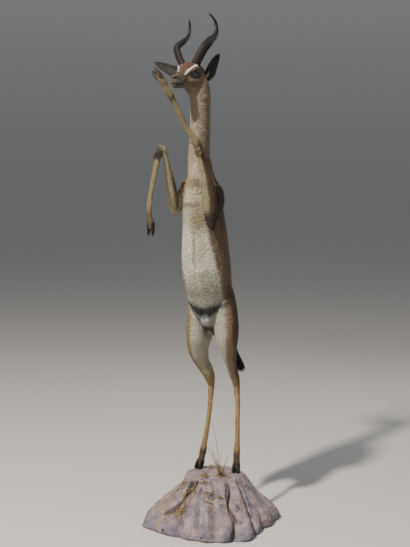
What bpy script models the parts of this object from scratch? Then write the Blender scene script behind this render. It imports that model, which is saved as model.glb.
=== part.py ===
# Gerenuk ram, mounted upright on its hind legs on a fluted rock base.
# Metres, +Z up. The origin is the centre of the base's underside and the breast faces -Y,
# so +X is the animal's left.

import math

import bmesh
import bpy
import numpy as np
from mathutils import Matrix, Vector
from mathutils.kdtree import KDTree

# Driving sizes
GAP = 0.0003
BASE_HEIGHT = 0.230
SOLE_HEIGHT = BASE_HEIGHT + GAP
EYE_RADIUS = 0.0205
EAR_WIDTH = 0.054
EAR_THICKNESS = 0.0036
HORN_RINGS = 21
RINGED_SHARE = 0.70
RING_HEIGHT = 0.085

# The head's frame: between the eyes, turned to the animal's right, nose a little down
HEAD_PLACE = Vector((-0.0560, -0.1350, 2.0650))
HEAD_YAW = math.radians(-3.7)
HEAD_PITCH = math.radians(10.3)
HEAD_ROLL = 0

# How finely each part of the flesh is drawn: voxel size, and triangles kept
BODY_DETAIL = (0.0040, 3600)
ARM_DETAIL = (0.0032, 640)
HEAD_DETAIL = (0.0021, 2700)

# Hair, base and straw
TAIL_LOCKS = 8
STRAW_RADIUS = 0.0016
ROCK_LEAN = (0.927, 0.375)
ROCK_PROFILE = [
    (0.000, 0.289, 0.008, 0.026),
    (0.010, 0.296, 0.008, 0.036),
    (0.035, 0.290, 0.008, 0.044),
    (0.075, 0.260, 0.012, 0.048),
    (0.105, 0.226, 0.012, 0.048),
    (0.130, 0.198, 0.014, 0.045),
    (0.160, 0.170, 0.020, 0.038),
    (0.190, 0.148, 0.024, 0.028),
    (0.213, 0.138, 0.021, 0.019),
    (0.225, 0.133, 0.018, 0.013),
    (0.230, 0.128, 0.016, 0.008),
]
# Each crease between two folds: its angle in degrees at the base's foot and at its top, its half
# width there, and its depth
CREASES = [
    (-152, -150, 9, 0.45),
    (-128, -132, 8, 0.35),
    (-101, -109, 9, 0.90),
    (-82, -87, 7, 0.40),
    (-63, -74, 6, 0.45),
    (-50, -42, 6, 1.20),
    (-27, -13, 7, 1.00),
    (-6, -4, 7, 0.40),
    (20, 14, 9, 0.50),
    (44, 46, 9, 0.60),
    (68, 62, 9, 1.00),
    (97, 92, 10, 0.70),
    (122, 126, 8, 1.00),
    (150, 146, 10, 0.60),
    (176, 170, 9, 1.00),
]
# How far the base's foot reaches at each angle, as a share of its profile
FOOTPRINT = [
    (-180, 0.97), (-160, 1.04), (-142, 1.12), (-132, 1.06), (-117, 0.97), (-101, 1.00), (-88, 0.98),
    (-66, 1.02), (-48, 1.09), (-38, 1.08), (-26, 1.01), (-13, 0.87), (-5, 0.86), (5, 0.93), (16, 0.97),
    (29, 1.08), (60, 1.04), (120, 1.01), (160, 0.99), (180, 0.97),
]
# Straw: stalks that stand, as root, way, bend and length
STALKS = [
    ((0.068, -0.040, 0.215), (-0.11, 0.02, 1), (-0.06, -0.02, 0), 0.290),
    ((0.074, -0.032, 0.215), (-0.30, -0.04, 1), (-0.08, 0.00, -0.05), 0.190),
    ((0.006, -0.050, 0.215), (-0.40, -0.30, 1), (-0.25, -0.15, -0.30), 0.090),
]
# and stalks that lie on the folds, as the angle and height of each end
FALLEN = [
    ((-93, 0.195), (-108, 0.105)),
    ((-112, 0.135), (-104, 0.070)),
    ((-82, 0.150), (-54, 0.140)),
]

COLORS = {
    "fawn": ((0.46, 0.31, 0.18), 0.85),
    "cream": ((0.72, 0.68, 0.57), 0.85),
    "tan": ((0.50, 0.33, 0.15), 0.85),
    "horn": ((0.035, 0.033, 0.032), 0.45),
    "hoof": ((0.03, 0.027, 0.024), 0.4),
    "eye": ((0.012, 0.008, 0.006), 0.08),
    "black_hair": ((0.02, 0.018, 0.018), 0.8),
    "rock": ((0.55, 0.48, 0.49), 0.9),
    "straw": ((0.62, 0.50, 0.28), 0.8),
}


def clear_scene():
    for item in list(bpy.data.objects):
        bpy.data.objects.remove(item, do_unlink=True)


def material(name):
    found = bpy.data.materials.get(name)
    if found:
        return found
    color, roughness = COLORS[name]
    made = bpy.data.materials.new(name)
    made.use_nodes = True
    shader = made.node_tree.nodes["Principled BSDF"]
    shader.inputs["Base Color"].default_value = (*color, 1)
    shader.inputs["Roughness"].default_value = roughness
    return made


def group(name, hidden=False):
    made = bpy.data.collections.new(name)
    bpy.context.scene.collection.children.link(made)
    made.hide_render = hidden
    return made


def new_object(name, mesh, collection, color=None):
    made = bpy.data.objects.new(name, mesh)
    collection.objects.link(made)
    if color:
        mesh.materials.clear()
        mesh.materials.append(material(color))
    return made


def mesh_of(bm, name):
    bmesh.ops.recalc_face_normals(bm, faces=bm.faces)
    mesh = bpy.data.meshes.new(name)
    bm.to_mesh(mesh)
    bm.free()
    return mesh


def baked(obj):
    """The object's evaluated mesh, with its modifiers applied."""
    bpy.context.view_layer.update()
    graph = bpy.context.evaluated_depsgraph_get()
    mesh = bpy.data.meshes.new_from_object(obj.evaluated_get(graph))
    obj.modifiers.clear()
    obj.data = mesh
    return obj


def points_of(mesh):
    points = np.empty(len(mesh.vertices) * 3)
    mesh.vertices.foreach_get("co", points)
    return points.reshape(-1, 3)


def set_points(mesh, points):
    mesh.vertices.foreach_set("co", np.asarray(points, np.float32).ravel())
    mesh.update()


# Smooth lofts

def smooth_rows(rows, count):
    """count rows along a smooth curve through the given ones, evenly spaced by their first three columns."""
    rows = np.array(rows, float)
    steps = np.linalg.norm(np.diff(rows[:, :3], axis=0), axis=1)
    along = np.concatenate([[0], np.cumsum(steps)])
    slopes = np.diff(rows, axis=0) / steps[:, None]
    tangents = np.vstack([slopes[:1], slopes[:1], slopes[1:]])
    for i in range(1, len(rows) - 1):
        weight = steps[i - 1] / (steps[i - 1] + steps[i])
        tangents[i] = slopes[i - 1] * (1 - weight) + slopes[i] * weight
    tangents[-1] = slopes[-1]
    at = np.linspace(0, along[-1], count)
    span = np.clip(np.searchsorted(along, at, side="right") - 1, 0, len(steps) - 1)
    t = ((at - along[span]) / steps[span])[:, None]
    length = steps[span][:, None]
    return (
        rows[span] * (1 + 2 * t) * (1 - t) ** 2
        + tangents[span] * length * t * (1 - t) ** 2
        + rows[span + 1] * t**2 * (3 - 2 * t)
        + tangents[span + 1] * length * t**2 * (t - 1)
    )


def directions(centres):
    run = np.gradient(centres, axis=0)
    return run / np.linalg.norm(run, axis=1)[:, None]


def loft_rings(bm, rings):
    """A closed surface through rings of points, with a flat cap at each end."""
    made = [[bm.verts.new(p) for p in ring] for ring in rings]
    sides = len(made[0])
    for low, high in zip(made, made[1:]):
        for i in range(sides):
            j = (i + 1) % sides
            bm.faces.new((low[i], low[j], high[j], high[i]))
    bm.faces.new(made[0][::-1])
    bm.faces.new(made[-1])


def round_off(rows):
    """Adds rings that close each end of a tube as half an ellipsoid."""
    rows = np.array(rows, float)
    ends = []
    for end, near in ((rows[0], rows[1]), (rows[-1], rows[-2])):
        away = (end[:3] - near[:3]) / np.linalg.norm(end[:3] - near[:3])
        reach = min(end[3], end[4])
        dome = []
        for k in (0.4, 0.75, 0.96):
            ring = end.copy()
            ring[:3] = end[:3] + away * reach * k
            ring[3:5] = end[3:5] * math.sqrt(1 - k * k)
            dome.append(ring)
        ends.append(np.array(dome))
    return np.vstack([ends[0][::-1], rows, ends[1]])


def tube(bm, stations, side, count=48, sides=28, rounded=True, pinch=0):
    """A loft of ellipses. A station is x, y, z, half width along side, and half depth across it.

    pinch narrows the ellipse's deep side, or where it is negative, the shallow side."""
    rows = smooth_rows(stations, count)
    if rounded:
        rows = round_off(rows)
    run = directions(rows[:, :3])
    across = np.array(side, float) - run * (run @ np.array(side, float))[:, None]
    across /= np.linalg.norm(across, axis=1)[:, None]
    deep = np.cross(run, across)
    angles = np.linspace(0, 2 * math.pi, sides, endpoint=False)
    rings = []
    for row, a, d in zip(rows, across, deep):
        ring = []
        for t in angles:
            width = row[3] * (1 - abs(pinch) * max(0, math.sin(t) * math.copysign(1, pinch)) ** 1.5)
            ring.append(row[:3] + a * width * math.cos(t) + d * row[4] * math.sin(t))
        rings.append(ring)
    loft_rings(bm, rings)


def ball(bm, centre, radii, turn=None):
    place = Matrix.Translation(centre)
    if turn:
        place = place @ turn
    place = place @ Matrix.Diagonal((*radii, 1))
    bmesh.ops.create_uvsphere(bm, u_segments=28, v_segments=18, radius=1, matrix=place)


# Head

# Distance ahead of the eyes, half width, height of the top and depth of the underside
HEAD_SECTIONS = [
    (0.149, 0.0085, -0.003, -0.033),
    (0.145, 0.0135, 0.0045, -0.0440),
    (0.136, 0.0170, 0.0090, -0.0525),
    (0.116, 0.0192, 0.0140, -0.0560),
    (0.090, 0.0234, 0.0200, -0.0575),
    (0.060, 0.0310, 0.0300, -0.0590),
    (0.030, 0.0435, 0.0425, -0.0650),
    (0.000, 0.0530, 0.0520, -0.0735),
    (-0.030, 0.0550, 0.0555, -0.0800),
    (-0.060, 0.0535, 0.0520, -0.0780),
    (-0.090, 0.0460, 0.0400, -0.0660),
    (-0.117, 0.0270, 0.0170, -0.0440),
]
EYE_PLACE = Vector((0.0335, 0.000, 0.0085))
EYE_AIM = Vector((0.86, -0.50, 0.08)).normalized()
LID_OPENING = (0.0170, 0.0106)
LID_TILT = 0.15
LID_THICKNESS = 0.0024
MOUTH_LINE = [
    (0.149, 0.000, -0.0280),
    (0.139, 0.0155, -0.0322),
    (0.112, 0.0200, -0.0338),
    (0.076, 0.0265, -0.0342),
]
LIP_CLEFT = [(0.149, 0, -0.006), (0.150, 0, -0.016), (0.148, 0, -0.024)]
NOSTRIL = (0.0112, -0.1435, -0.0045)
NOSTRIL_SIZE = (0.0042, 0.0070, 0.0034)


FACE_FORMS = {
    "brow": ((0.043, 0.002, 0.034), 0.020, 0.0095),
    "horn_seat": ((0.030, 0.012, 0.048), 0.020, 0.0050),
    "tear_hollow": ((0.036, -0.047, 0.002), 0.016, -0.0035),
    "cheek_hollow": ((0.034, -0.060, -0.022), 0.020, -0.0025),
    "jaw_muscle": ((0.048, 0.035, -0.040), 0.028, 0.0045),
    "temple": ((0.050, 0.046, 0.016), 0.018, -0.0045),
    "forehead": ((0.000, -0.030, 0.040), 0.022, 0.0020),
    "nostril_wing": ((0.0135, -0.137, 0.0025), 0.0085, 0.0022),
    "upper_lip": ((0.0195, -0.126, -0.020), 0.0110, 0.0022),
    "chin": ((0.012, -0.136, -0.042), 0.0100, 0.0015),
}


def head_frame():
    turn = Matrix.Rotation(HEAD_YAW, 4, "Z") @ Matrix.Rotation(HEAD_PITCH, 4, "X")
    return Matrix.Translation(HEAD_PLACE) @ turn @ Matrix.Rotation(HEAD_ROLL, 4, "Y")


def yaw_frame():
    """The head's place without its nod, for the horns and ears, which are measured level."""
    return Matrix.Translation(HEAD_PLACE) @ Matrix.Rotation(HEAD_YAW, 4, "Z")


def bulge(points, centre, radius, amount):
    """Moves points near centre away from the head's long axis, or towards it where amount is negative."""
    for mirror in (1, -1):
        place = np.array(centre, float) * [mirror, 1, 1]
        share = np.exp(-((points - place) ** 2).sum(1) / radius**2)
        out = points * [1, 0, 1] + [0, 0, 0.012]
        out /= np.linalg.norm(out, axis=1)[:, None] + 1e-9
        points += out * (share * amount)[:, None]


def groove(points, line, radius, depth):
    """Presses a furrow along a smooth line on each side."""
    for mirror in (1, -1):
        path = smooth_rows([(x * mirror, -s, z) for s, x, z in line], 40)
        near = np.linalg.norm(points[:, None, :] - path[None], axis=2).min(1)
        inward = points * [1, 0.15, 0.4]
        inward /= np.linalg.norm(inward, axis=1)[:, None] + 1e-9
        points -= inward * (np.exp(-((near / radius) ** 2)) * depth)[:, None]


def open_nostrils(points):
    for mirror in (1, -1):
        place = np.array(NOSTRIL) * [mirror, 1, 1]
        stretch = (points - place) / NOSTRIL_SIZE
        share = np.exp(-(stretch**2).sum(1))
        points += share[:, None] * np.array([-0.0055 * mirror, 0.0065, -0.001])


def open_lids(points):
    """Draws the skin over each eyeball as two lids round an almond opening."""
    for mirror in (1, -1):
        centre = np.array(EYE_PLACE) * [mirror, 1, 1]
        aim = np.array(EYE_AIM) * [mirror, 1, 1]
        along = np.cross(aim, [0, 0, 1])
        along *= -np.sign(along[1]) / np.linalg.norm(along)
        up = np.cross(along, aim)
        up *= np.sign(up[2])
        offset = points - centre
        u = offset @ along
        v = offset @ up + LID_TILT * u
        half_height = LID_OPENING[1] * np.sqrt(np.clip(1 - (u / LID_OPENING[0]) ** 2, 0.02, 1))
        almond = np.sqrt((u / LID_OPENING[0]) ** 2 + (v / (half_height + 0.001)) ** 2)
        length = np.linalg.norm(offset, axis=1)
        unit = offset / (length[:, None] + 1e-9)
        facing = unit @ aim
        inside = (facing > 0) & (almond < 1)
        points[inside] = centre + unit[inside] * np.minimum(length, EYE_RADIUS - 0.002)[inside, None]
        ball = (EYE_RADIUS + LID_THICKNESS) * np.clip((facing + 0.25) / 0.35, 0, 1)
        rim = ~inside & (facing > -0.25) & (length < 2 * EYE_RADIUS)
        points[rim] = centre + unit[rim] * ((length**12 + ball**12) ** (1 / 12))[rim, None]


def sculpt_face(points):
    for centre, radius, amount in FACE_FORMS.values():
        bulge(points, centre, radius, amount)
    groove(points, MOUTH_LINE, 0.0030, 0.0042)
    groove(points, LIP_CLEFT, 0.0030, 0.0022)
    open_nostrils(points)
    open_lids(points)


def head_form(bm, sides=84, count=110):
    """The head's plain loft, narrower over the nose and under the jaw than at its middle."""
    rows = smooth_rows([(0, -s, 0, w, top, low) for s, w, top, low in HEAD_SECTIONS], count)
    frame = head_frame()
    rings = []
    for _, y, _, width, top, low in rows:
        middle = (top + low) / 2 + 0.004
        ring = []
        for t in np.linspace(0, 2 * math.pi, sides, endpoint=False):
            c, s = math.cos(t), math.sin(t)
            taper = 1 - 0.16 * s if s > 0 else 1 - 0.30 * s * s
            x = width * taper * math.copysign(abs(c) ** 0.86, c)
            z = middle + math.copysign(abs(s) ** 0.9, s) * (top - low) / 2
            z -= 0.004 * s
            ring.append(frame @ Vector((x, y, z)))
        rings.append(ring)
    loft_rings(bm, rings)


# Ears and horns

# Distance behind the eyes, outward and upward, level with the ground, in metres
EAR_ROOTS = {"left": (0.080, 0.042, -0.009), "right": (0.066, -0.048, -0.006)}
EAR_TIPS = {"left": (0.150, 0.080, 0.108), "right": (0.020, -0.181, 0.070)}
EAR_FACES = {"left": (-0.34, 0.94, -0.05), "right": (-0.90, 0.02, 0.66)}
HORN_LINE = [
    (0.0127, 0.0270, 0.0306),
    (0.0105, 0.0335, 0.0502),
    (0.0116, 0.0476, 0.0773),
    (0.0180, 0.0605, 0.1032),
    (0.0272, 0.0700, 0.1241),
    (0.0547, 0.0733, 0.1449),
    (0.0875, 0.0703, 0.1640),
    (0.1102, 0.0713, 0.1753),
    (0.1333, 0.0707, 0.1899),
    (0.1481, 0.0693, 0.2115),
    (0.1521, 0.0679, 0.2319),
    (0.1462, 0.0657, 0.2530),
    (0.1059, 0.0525, 0.2856),
]
HORN_RADII = [
    0.0188, 0.0184, 0.0181, 0.0177, 0.0174, 0.0166, 0.0151, 0.0130, 0.0109, 0.0090, 0.0073, 0.0054, 0.0026,
]
HORN_SHARES = {"left": 1.0, "right": 0.93}
HORN_OVAL = (1.17, 0.85)


def level(back, out, up):
    """A point given by its distances behind, left of and above the eyes."""
    return yaw_frame() @ Vector((out, back, up))


def aim_of(back, out, up):
    return (yaw_frame().to_3x3() @ Vector((out, back, up))).normalized()


def ear_rings(side, rows, across):
    """Rings round a leaf shaped cup, from its root to its tip: along its hollow, and back behind."""
    root, tip = level(*EAR_ROOTS[side]), level(*EAR_TIPS[side])
    axis = (tip - root).normalized()
    face = aim_of(*EAR_FACES[side])
    face = (face - axis * face.dot(axis)).normalized()
    wide = axis.cross(face)
    rings = []
    for t in np.linspace(0, 1, rows):
        leaf = math.sin(math.pi * (0.12 + 0.88 * t)) ** 0.62
        half = max(0.5 * EAR_WIDTH * leaf, 0.0165 * (1 - t) ** 3, 0.002)
        spread = math.radians(50 + 110 * (1 - t) ** 2)
        radius = half / math.sin(min(spread, math.pi / 2))
        wall = min(EAR_THICKNESS, radius * 0.45)
        centre = root + axis * (tip - root).length * t - face * 0.010 * math.sin(math.pi * t)
        hollow, back = [], []
        for k in np.linspace(-1, 1, across + 1):
            spoke = wide * math.sin(spread * k) - face * math.cos(spread * k)
            middle = centre + face * radius + spoke * (radius - wall / 2)
            half_wall = spoke * wall / 2 * (1 - 0.6 * abs(k) ** 6)
            hollow.append(middle - half_wall)
            back.append(middle + half_wall)
        rings.append(hollow + back[::-1])
    return rings


def ear(name, side, collection):
    bm = bmesh.new()
    loft_rings(bm, ear_rings(side, rows=13, across=8))
    return new_object(name, mesh_of(bm, name), collection, "fawn")


def horn_steps():
    """Shares of the horn's length for its rings of points, and how far each stands out."""
    steps = [(0, 0)]
    for ring in range(HORN_RINGS):
        steps += [(RINGED_SHARE * (ring + 0.55) / HORN_RINGS, 1), (RINGED_SHARE * (ring + 1) / HORN_RINGS, 0)]
    steps += [(RINGED_SHARE + (1 - RINGED_SHARE) * k / 7, 0) for k in range(1, 8)]
    return steps


def horn(name, side, collection, sides=10):
    """A ringed horn that leans back and out, then hooks forward at the tip."""
    mirror = 1 if side == "left" else -1
    fine = smooth_rows([(*p, r) for p, r in zip(HORN_LINE, HORN_RADII)], 400)
    centres = np.array([level(b, o * mirror, u) for b, o, u in fine[:, :3]])
    run = directions(centres)
    fore = np.array(aim_of(-0.77, -0.64 * mirror, 0))
    rings = []
    for share, height in horn_steps():
        i = round(share * 399 * HORN_SHARES[side])
        deep = fore - run[i] * (run[i] @ fore)
        deep /= np.linalg.norm(deep)
        across = np.cross(run[i], deep)
        radius = min(fine[i, 3], 0.0016 + 0.05 * (1 - share))
        ring = []
        for angle in np.linspace(0, 2 * math.pi, sides, endpoint=False):
            size = radius * (1 + RING_HEIGHT * height * (0.75 + 0.25 * math.cos(angle)))
            long, short = size * HORN_OVAL[0], size * HORN_OVAL[1]
            ring.append(centres[i] + deep * long * math.cos(angle) + across * short * math.sin(angle))
        rings.append(ring)
    bm = bmesh.new()
    loft_rings(bm, rings)
    return new_object(name, mesh_of(bm, name), collection, "horn")


def eye(name, mirror, radius, collection):
    bm = bmesh.new()
    place = head_frame() @ Vector((EYE_PLACE.x * mirror, EYE_PLACE.y, EYE_PLACE.z))
    bmesh.ops.create_icosphere(bm, subdivisions=3, radius=radius, matrix=Matrix.Translation(place))
    return new_object(name, mesh_of(bm, name), collection, "eye")


# Body: stations are x, y, z, half width, half depth

TORSO = [
    (-0.034, -0.047, 1.690, 0.046, 0.070),
    (-0.034, -0.045, 1.640, 0.054, 0.088),
    (-0.032, -0.043, 1.585, 0.067, 0.116),
    (-0.028, -0.042, 1.520, 0.080, 0.140),
    (-0.025, -0.041, 1.450, 0.088, 0.150),
    (-0.021, -0.039, 1.390, 0.094, 0.153),
    (-0.019, -0.035, 1.320, 0.101, 0.157),
    (-0.017, -0.032, 1.250, 0.107, 0.158),
    (-0.013, -0.027, 1.180, 0.110, 0.152),
    (-0.010, -0.016, 1.115, 0.108, 0.142),
    (-0.008, -0.002, 1.050, 0.098, 0.122),
    (-0.008, 0.030, 0.995, 0.078, 0.096),
    (-0.008, 0.056, 0.955, 0.054, 0.074),
    (-0.006, 0.076, 0.915, 0.036, 0.054),
]
NECK = [
    (-0.034, -0.040, 1.590, 0.060, 0.096),
    (-0.037, -0.045, 1.650, 0.052, 0.080),
    (-0.040, -0.047, 1.710, 0.047, 0.071),
    (-0.037, -0.049, 1.760, 0.045, 0.067),
    (-0.032, -0.051, 1.850, 0.0442, 0.063),
    (-0.031, -0.055, 1.920, 0.0450, 0.060),
    (-0.029, -0.061, 1.975, 0.0460, 0.059),
    (-0.034, -0.073, 2.025, 0.0460, 0.058),
    (-0.041, -0.085, 2.055, 0.0425, 0.054),
]
HIND_RIGHT = [
    (-0.058, 0.055, 1.120, 0.044, 0.080),
    (-0.0645, 0.056, 1.040, 0.050, 0.104),
    (-0.069, 0.050, 0.960, 0.053, 0.106),
    (-0.0755, 0.045, 0.898, 0.052, 0.100),
    (-0.0775, 0.044, 0.855, 0.049, 0.091),
    (-0.0815, 0.050, 0.815, 0.042, 0.077),
    (-0.0785, 0.062, 0.776, 0.033, 0.061),
    (-0.0710, 0.080, 0.735, 0.0240, 0.045),
    (-0.0595, 0.100, 0.699, 0.0212, 0.040),
    (-0.0530, 0.122, 0.660, 0.0185, 0.034),
    (-0.0525, 0.134, 0.622, 0.0138, 0.0235),
    (-0.0535, 0.132, 0.592, 0.0128, 0.0185),
    (-0.0530, 0.119, 0.525, 0.0105, 0.0138),
    (-0.0545, 0.103, 0.456, 0.0100, 0.0127),
    (-0.0600, 0.090, 0.395, 0.0107, 0.0134),
    (-0.0665, 0.080, 0.345, 0.0130, 0.0160),
    (-0.0700, 0.074, 0.314, 0.0157, 0.0192),
    (-0.0730, 0.067, 0.288, 0.0142, 0.0167),
    (-0.0755, 0.061, 0.268, 0.0160, 0.0190),
    (-0.0765, 0.059, 0.256, 0.0150, 0.0175),
]
HIND_LEFT = [
    (0.034, 0.048, 1.120, 0.044, 0.084),
    (0.050, 0.045, 1.040, 0.052, 0.104),
    (0.0585, 0.038, 0.970, 0.057, 0.104),
    (0.0665, 0.030, 0.907, 0.0565, 0.098),
    (0.0708, 0.030, 0.865, 0.0505, 0.090),
    (0.0735, 0.038, 0.820, 0.040, 0.074),
    (0.0748, 0.050, 0.787, 0.0325, 0.061),
    (0.0748, 0.066, 0.752, 0.0250, 0.046),
    (0.0736, 0.088, 0.712, 0.0202, 0.039),
    (0.0780, 0.118, 0.665, 0.0185, 0.034),
    (0.0792, 0.130, 0.631, 0.0160, 0.0250),
    (0.0810, 0.130, 0.600, 0.0142, 0.0195),
    (0.0905, 0.117, 0.545, 0.0108, 0.0142),
    (0.0950, 0.101, 0.478, 0.0110, 0.0130),
    (0.1000, 0.088, 0.400, 0.0114, 0.0134),
    (0.1015, 0.079, 0.350, 0.0138, 0.0165),
    (0.1018, 0.074, 0.322, 0.0156, 0.0188),
    (0.1030, 0.069, 0.295, 0.0150, 0.0172),
    (0.1045, 0.064, 0.266, 0.0165, 0.0192),
    (0.1045, 0.062, 0.253, 0.0155, 0.0175),
]
UPPER_ARM_RIGHT = [
    (-0.070, -0.040, 1.590, 0.030, 0.052),
    (-0.090, -0.070, 1.545, 0.034, 0.052),
    (-0.108, -0.098, 1.505, 0.030, 0.042),
    (-0.124, -0.122, 1.468, 0.020, 0.026),
]
UPPER_ARM_LEFT = [
    (0.026, -0.044, 1.570, 0.030, 0.050),
    (0.046, -0.086, 1.525, 0.036, 0.056),
    (0.062, -0.136, 1.460, 0.031, 0.044),
    (0.072, -0.172, 1.405, 0.020, 0.027),
]
FOREARM_RIGHT = [
    (-0.128, -0.126, 1.468, 0.018, 0.022),
    (-0.1225, -0.142, 1.490, 0.0215, 0.030),
    (-0.118, -0.165, 1.535, 0.0225, 0.031),
    (-0.117, -0.186, 1.578, 0.0195, 0.026),
    (-0.1178, -0.212, 1.636, 0.0140, 0.0180),
    (-0.1190, -0.235, 1.690, 0.0112, 0.0135),
    (-0.1270, -0.250, 1.732, 0.0150, 0.0165),
]
CANNON_RIGHT = [
    (-0.1340, -0.254, 1.738, 0.0150, 0.0165),
    (-0.1420, -0.266, 1.705, 0.0150, 0.0160),
    (-0.1445, -0.290, 1.650, 0.0125, 0.0135),
    (-0.1445, -0.322, 1.582, 0.0115, 0.0125),
    (-0.1440, -0.350, 1.515, 0.0110, 0.0122),
    (-0.1405, -0.366, 1.467, 0.0128, 0.0150),
    (-0.1370, -0.371, 1.440, 0.0118, 0.0135),
    (-0.1325, -0.366, 1.409, 0.0155, 0.0165),
    (-0.1322, -0.3630, 1.397, 0.0145, 0.0150),
]
FOREARM_LEFT = [
    (0.0740, -0.180, 1.405, 0.0175, 0.021),
    (0.0755, -0.190, 1.445, 0.0255, 0.031),
    (0.0750, -0.200, 1.505, 0.0268, 0.034),
    (0.0710, -0.213, 1.575, 0.0215, 0.028),
    (0.0590, -0.228, 1.645, 0.0150, 0.019),
    (0.0495, -0.240, 1.697, 0.0138, 0.0165),
    (0.0370, -0.253, 1.755, 0.0155, 0.018),
]
CANNON_LEFT = [
    (0.0340, -0.254, 1.765, 0.0150, 0.0170),
    (0.0180, -0.262, 1.788, 0.0140, 0.0155),
    (0.0018, -0.275, 1.814, 0.0118, 0.0130),
    (-0.0152, -0.312, 1.874, 0.0106, 0.0118),
    (-0.0330, -0.350, 1.934, 0.0108, 0.0118),
    (-0.0435, -0.376, 1.968, 0.0150, 0.0172),
    (-0.0525, -0.388, 1.990, 0.0138, 0.0152),
    (-0.0655, -0.402, 2.020, 0.0160, 0.0170),
    (-0.0725, -0.4040, 2.029, 0.0145, 0.0155),
]
SIDEWAYS = (1, 0, 0)
LEFT_ARM_SIDE = (0.81, -0.58, 0)
HIND_SIDES = {"left": (0.98, 0.19, 0), "right": (0.996, -0.09, 0)}
TAIL = [
    (-0.010, 0.105, 1.085, 0.014, 0.016),
    (-0.006, 0.158, 1.055, 0.013, 0.014),
    (0.002, 0.188, 0.990, 0.011, 0.011),
    (0.018, 0.202, 0.900, 0.009, 0.009),
    (0.038, 0.206, 0.820, 0.008, 0.008),
    (0.054, 0.205, 0.768, 0.007, 0.007),
]

# Where the flesh is parted: a point on the plane, the way it faces, and how far it reaches
BODY_CUTS = [
    ((-0.031, -0.057, 1.945), (0, -0.12, 1), 0.10),
    ((-0.034, -0.044, 1.640), (0, 0, 1), 0.13),
    ((-0.072, 0.050, 0.985), (-0.88, 0, -0.475), 0.150),
    ((0.052, 0.042, 0.985), (0.88, 0, -0.475), 0.150),
    ((-0.081, 0.053, 0.800), (0.10, -0.25, 1), 0.075),
    ((0.074, 0.045, 0.800), (0.0, -0.25, 1), 0.072),
    ((-0.0535, 0.132, 0.604), (0, 0.05, 1), 0.045),
    ((0.0805, 0.131, 0.610), (0, 0.05, 1), 0.045),
    ((-0.0755, 0.061, 0.268), (0, 0, 1), 0.040),
    ((0.1045, 0.064, 0.266), (0, 0, 1), 0.040),
]
BODY_MARKS = {
    "neck": (-0.037, -0.050, 1.780),
    "torso": (-0.022, -0.032, 1.350),
    "thigh_right": (-0.080, 0.045, 0.870),
    "thigh_left": (0.071, 0.025, 0.870),
    "shank_right": (-0.065, 0.090, 0.715),
    "shank_left": (0.074, 0.075, 0.715),
    "hind_cannon_right": (-0.055, 0.103, 0.450),
    "hind_cannon_left": (0.096, 0.096, 0.450),
}
ARM_CUTS = {
    "right": [
        ((-0.1240, -0.1240, 1.492), (0.20, 0.97, -0.05), 0.060),
        ((-0.1300, -0.2540, 1.722), (-0.45, -0.88, 0.0), 0.050),
        ((-0.1325, -0.3660, 1.409), (-0.10, 0.26, -0.96), 0.035),
    ],
    "left": [
        ((0.0690, -0.1720, 1.435), (-0.117, 0.965, -0.235), 0.130),
        ((0.0330, -0.2545, 1.7600), (-0.50, -0.30, 0.80), 0.040),
        ((-0.0655, -0.4020, 2.0200), (-0.64, -0.20, 0.74), 0.035),
    ],
}
ARM_MARKS = {
    "right": {
        "upper_foreleg_right": (-0.105, -0.070, 1.540),
        "forearm_right": (-0.117, -0.186, 1.578),
        "fore_cannon_right": (-0.145, -0.322, 1.582),
    },
    "left": {
        "upper_foreleg_left": (0.050, -0.080, 1.530),
        "forearm_left": (0.071, -0.213, 1.575),
        "fore_cannon_left": (-0.017, -0.312, 1.874),
    },
}


def body_form(bm):
    tube(bm, TORSO, SIDEWAYS, 64, 48, pinch=0.22)
    tube(bm, NECK, SIDEWAYS, 48, 40)
    for stations, side in ((HIND_RIGHT, "right"), (HIND_LEFT, "left")):
        tube(bm, stations, HIND_SIDES[side], 110, 32)
        hock = Vector(stations[10][:3])
        ball(bm, hock + Vector((0, 0.012, 0.010)), (0.0105, 0.016, 0.022))
    ball(bm, (0.001, -0.068, 0.966), (0.021, 0.025, 0.028))
    ball(bm, (-0.006, -0.118, 1.022), (0.012, 0.014, 0.024))


def right_arm_form(bm):
    for stations in (UPPER_ARM_RIGHT, FOREARM_RIGHT, CANNON_RIGHT):
        tube(bm, stations, SIDEWAYS)
    ball(bm, (-0.092, -0.066, 1.550), (0.030, 0.050, 0.052))
    ball(bm, (-0.125, -0.112, 1.458), (0.012, 0.014, 0.015))


def left_arm_form(bm):
    tube(bm, UPPER_ARM_LEFT, SIDEWAYS)
    for stations in (FOREARM_LEFT, CANNON_LEFT):
        tube(bm, stations, LEFT_ARM_SIDE)
    ball(bm, (0.048, -0.040, 1.512), (0.028, 0.055, 0.068))
    ball(bm, (0.074, -0.162, 1.393), (0.012, 0.014, 0.015))


def head_and_throat_form(bm):
    head_form(bm)
    tube(bm, NECK[3:], SIDEWAYS, 40, 48)
    frame = head_frame()
    ball(bm, frame @ Vector((0, 0.055, -0.052)), (0.040, 0.050, 0.042), frame.to_3x3().to_4x4())


# Joining and parting solids

def fused(name, form, detail, rounds=3, sculpt=None):
    """One skin round the overlapping pieces that form makes, drawn with about the triangles asked for."""
    voxel, triangles = detail
    bm = bmesh.new()
    form(bm)
    made = new_object(name, mesh_of(bm, name), bpy.context.scene.collection)
    remesh = made.modifiers.new("one_skin", "REMESH")
    remesh.mode = "VOXEL"
    remesh.voxel_size = voxel
    soften = made.modifiers.new("soften", "SMOOTH")
    soften.iterations = rounds
    baked(made)
    if sculpt:
        into_head = head_frame().inverted()
        made.data.transform(into_head)
        points = points_of(made.data)
        sculpt(points)
        set_points(made.data, points)
        made.data.transform(head_frame())
    fewer = made.modifiers.new("fewer", "DECIMATE")
    fewer.ratio = triangles / (2 * len(made.data.polygons))
    fewer.use_collapse_triangulate = True
    return baked(made)


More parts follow.
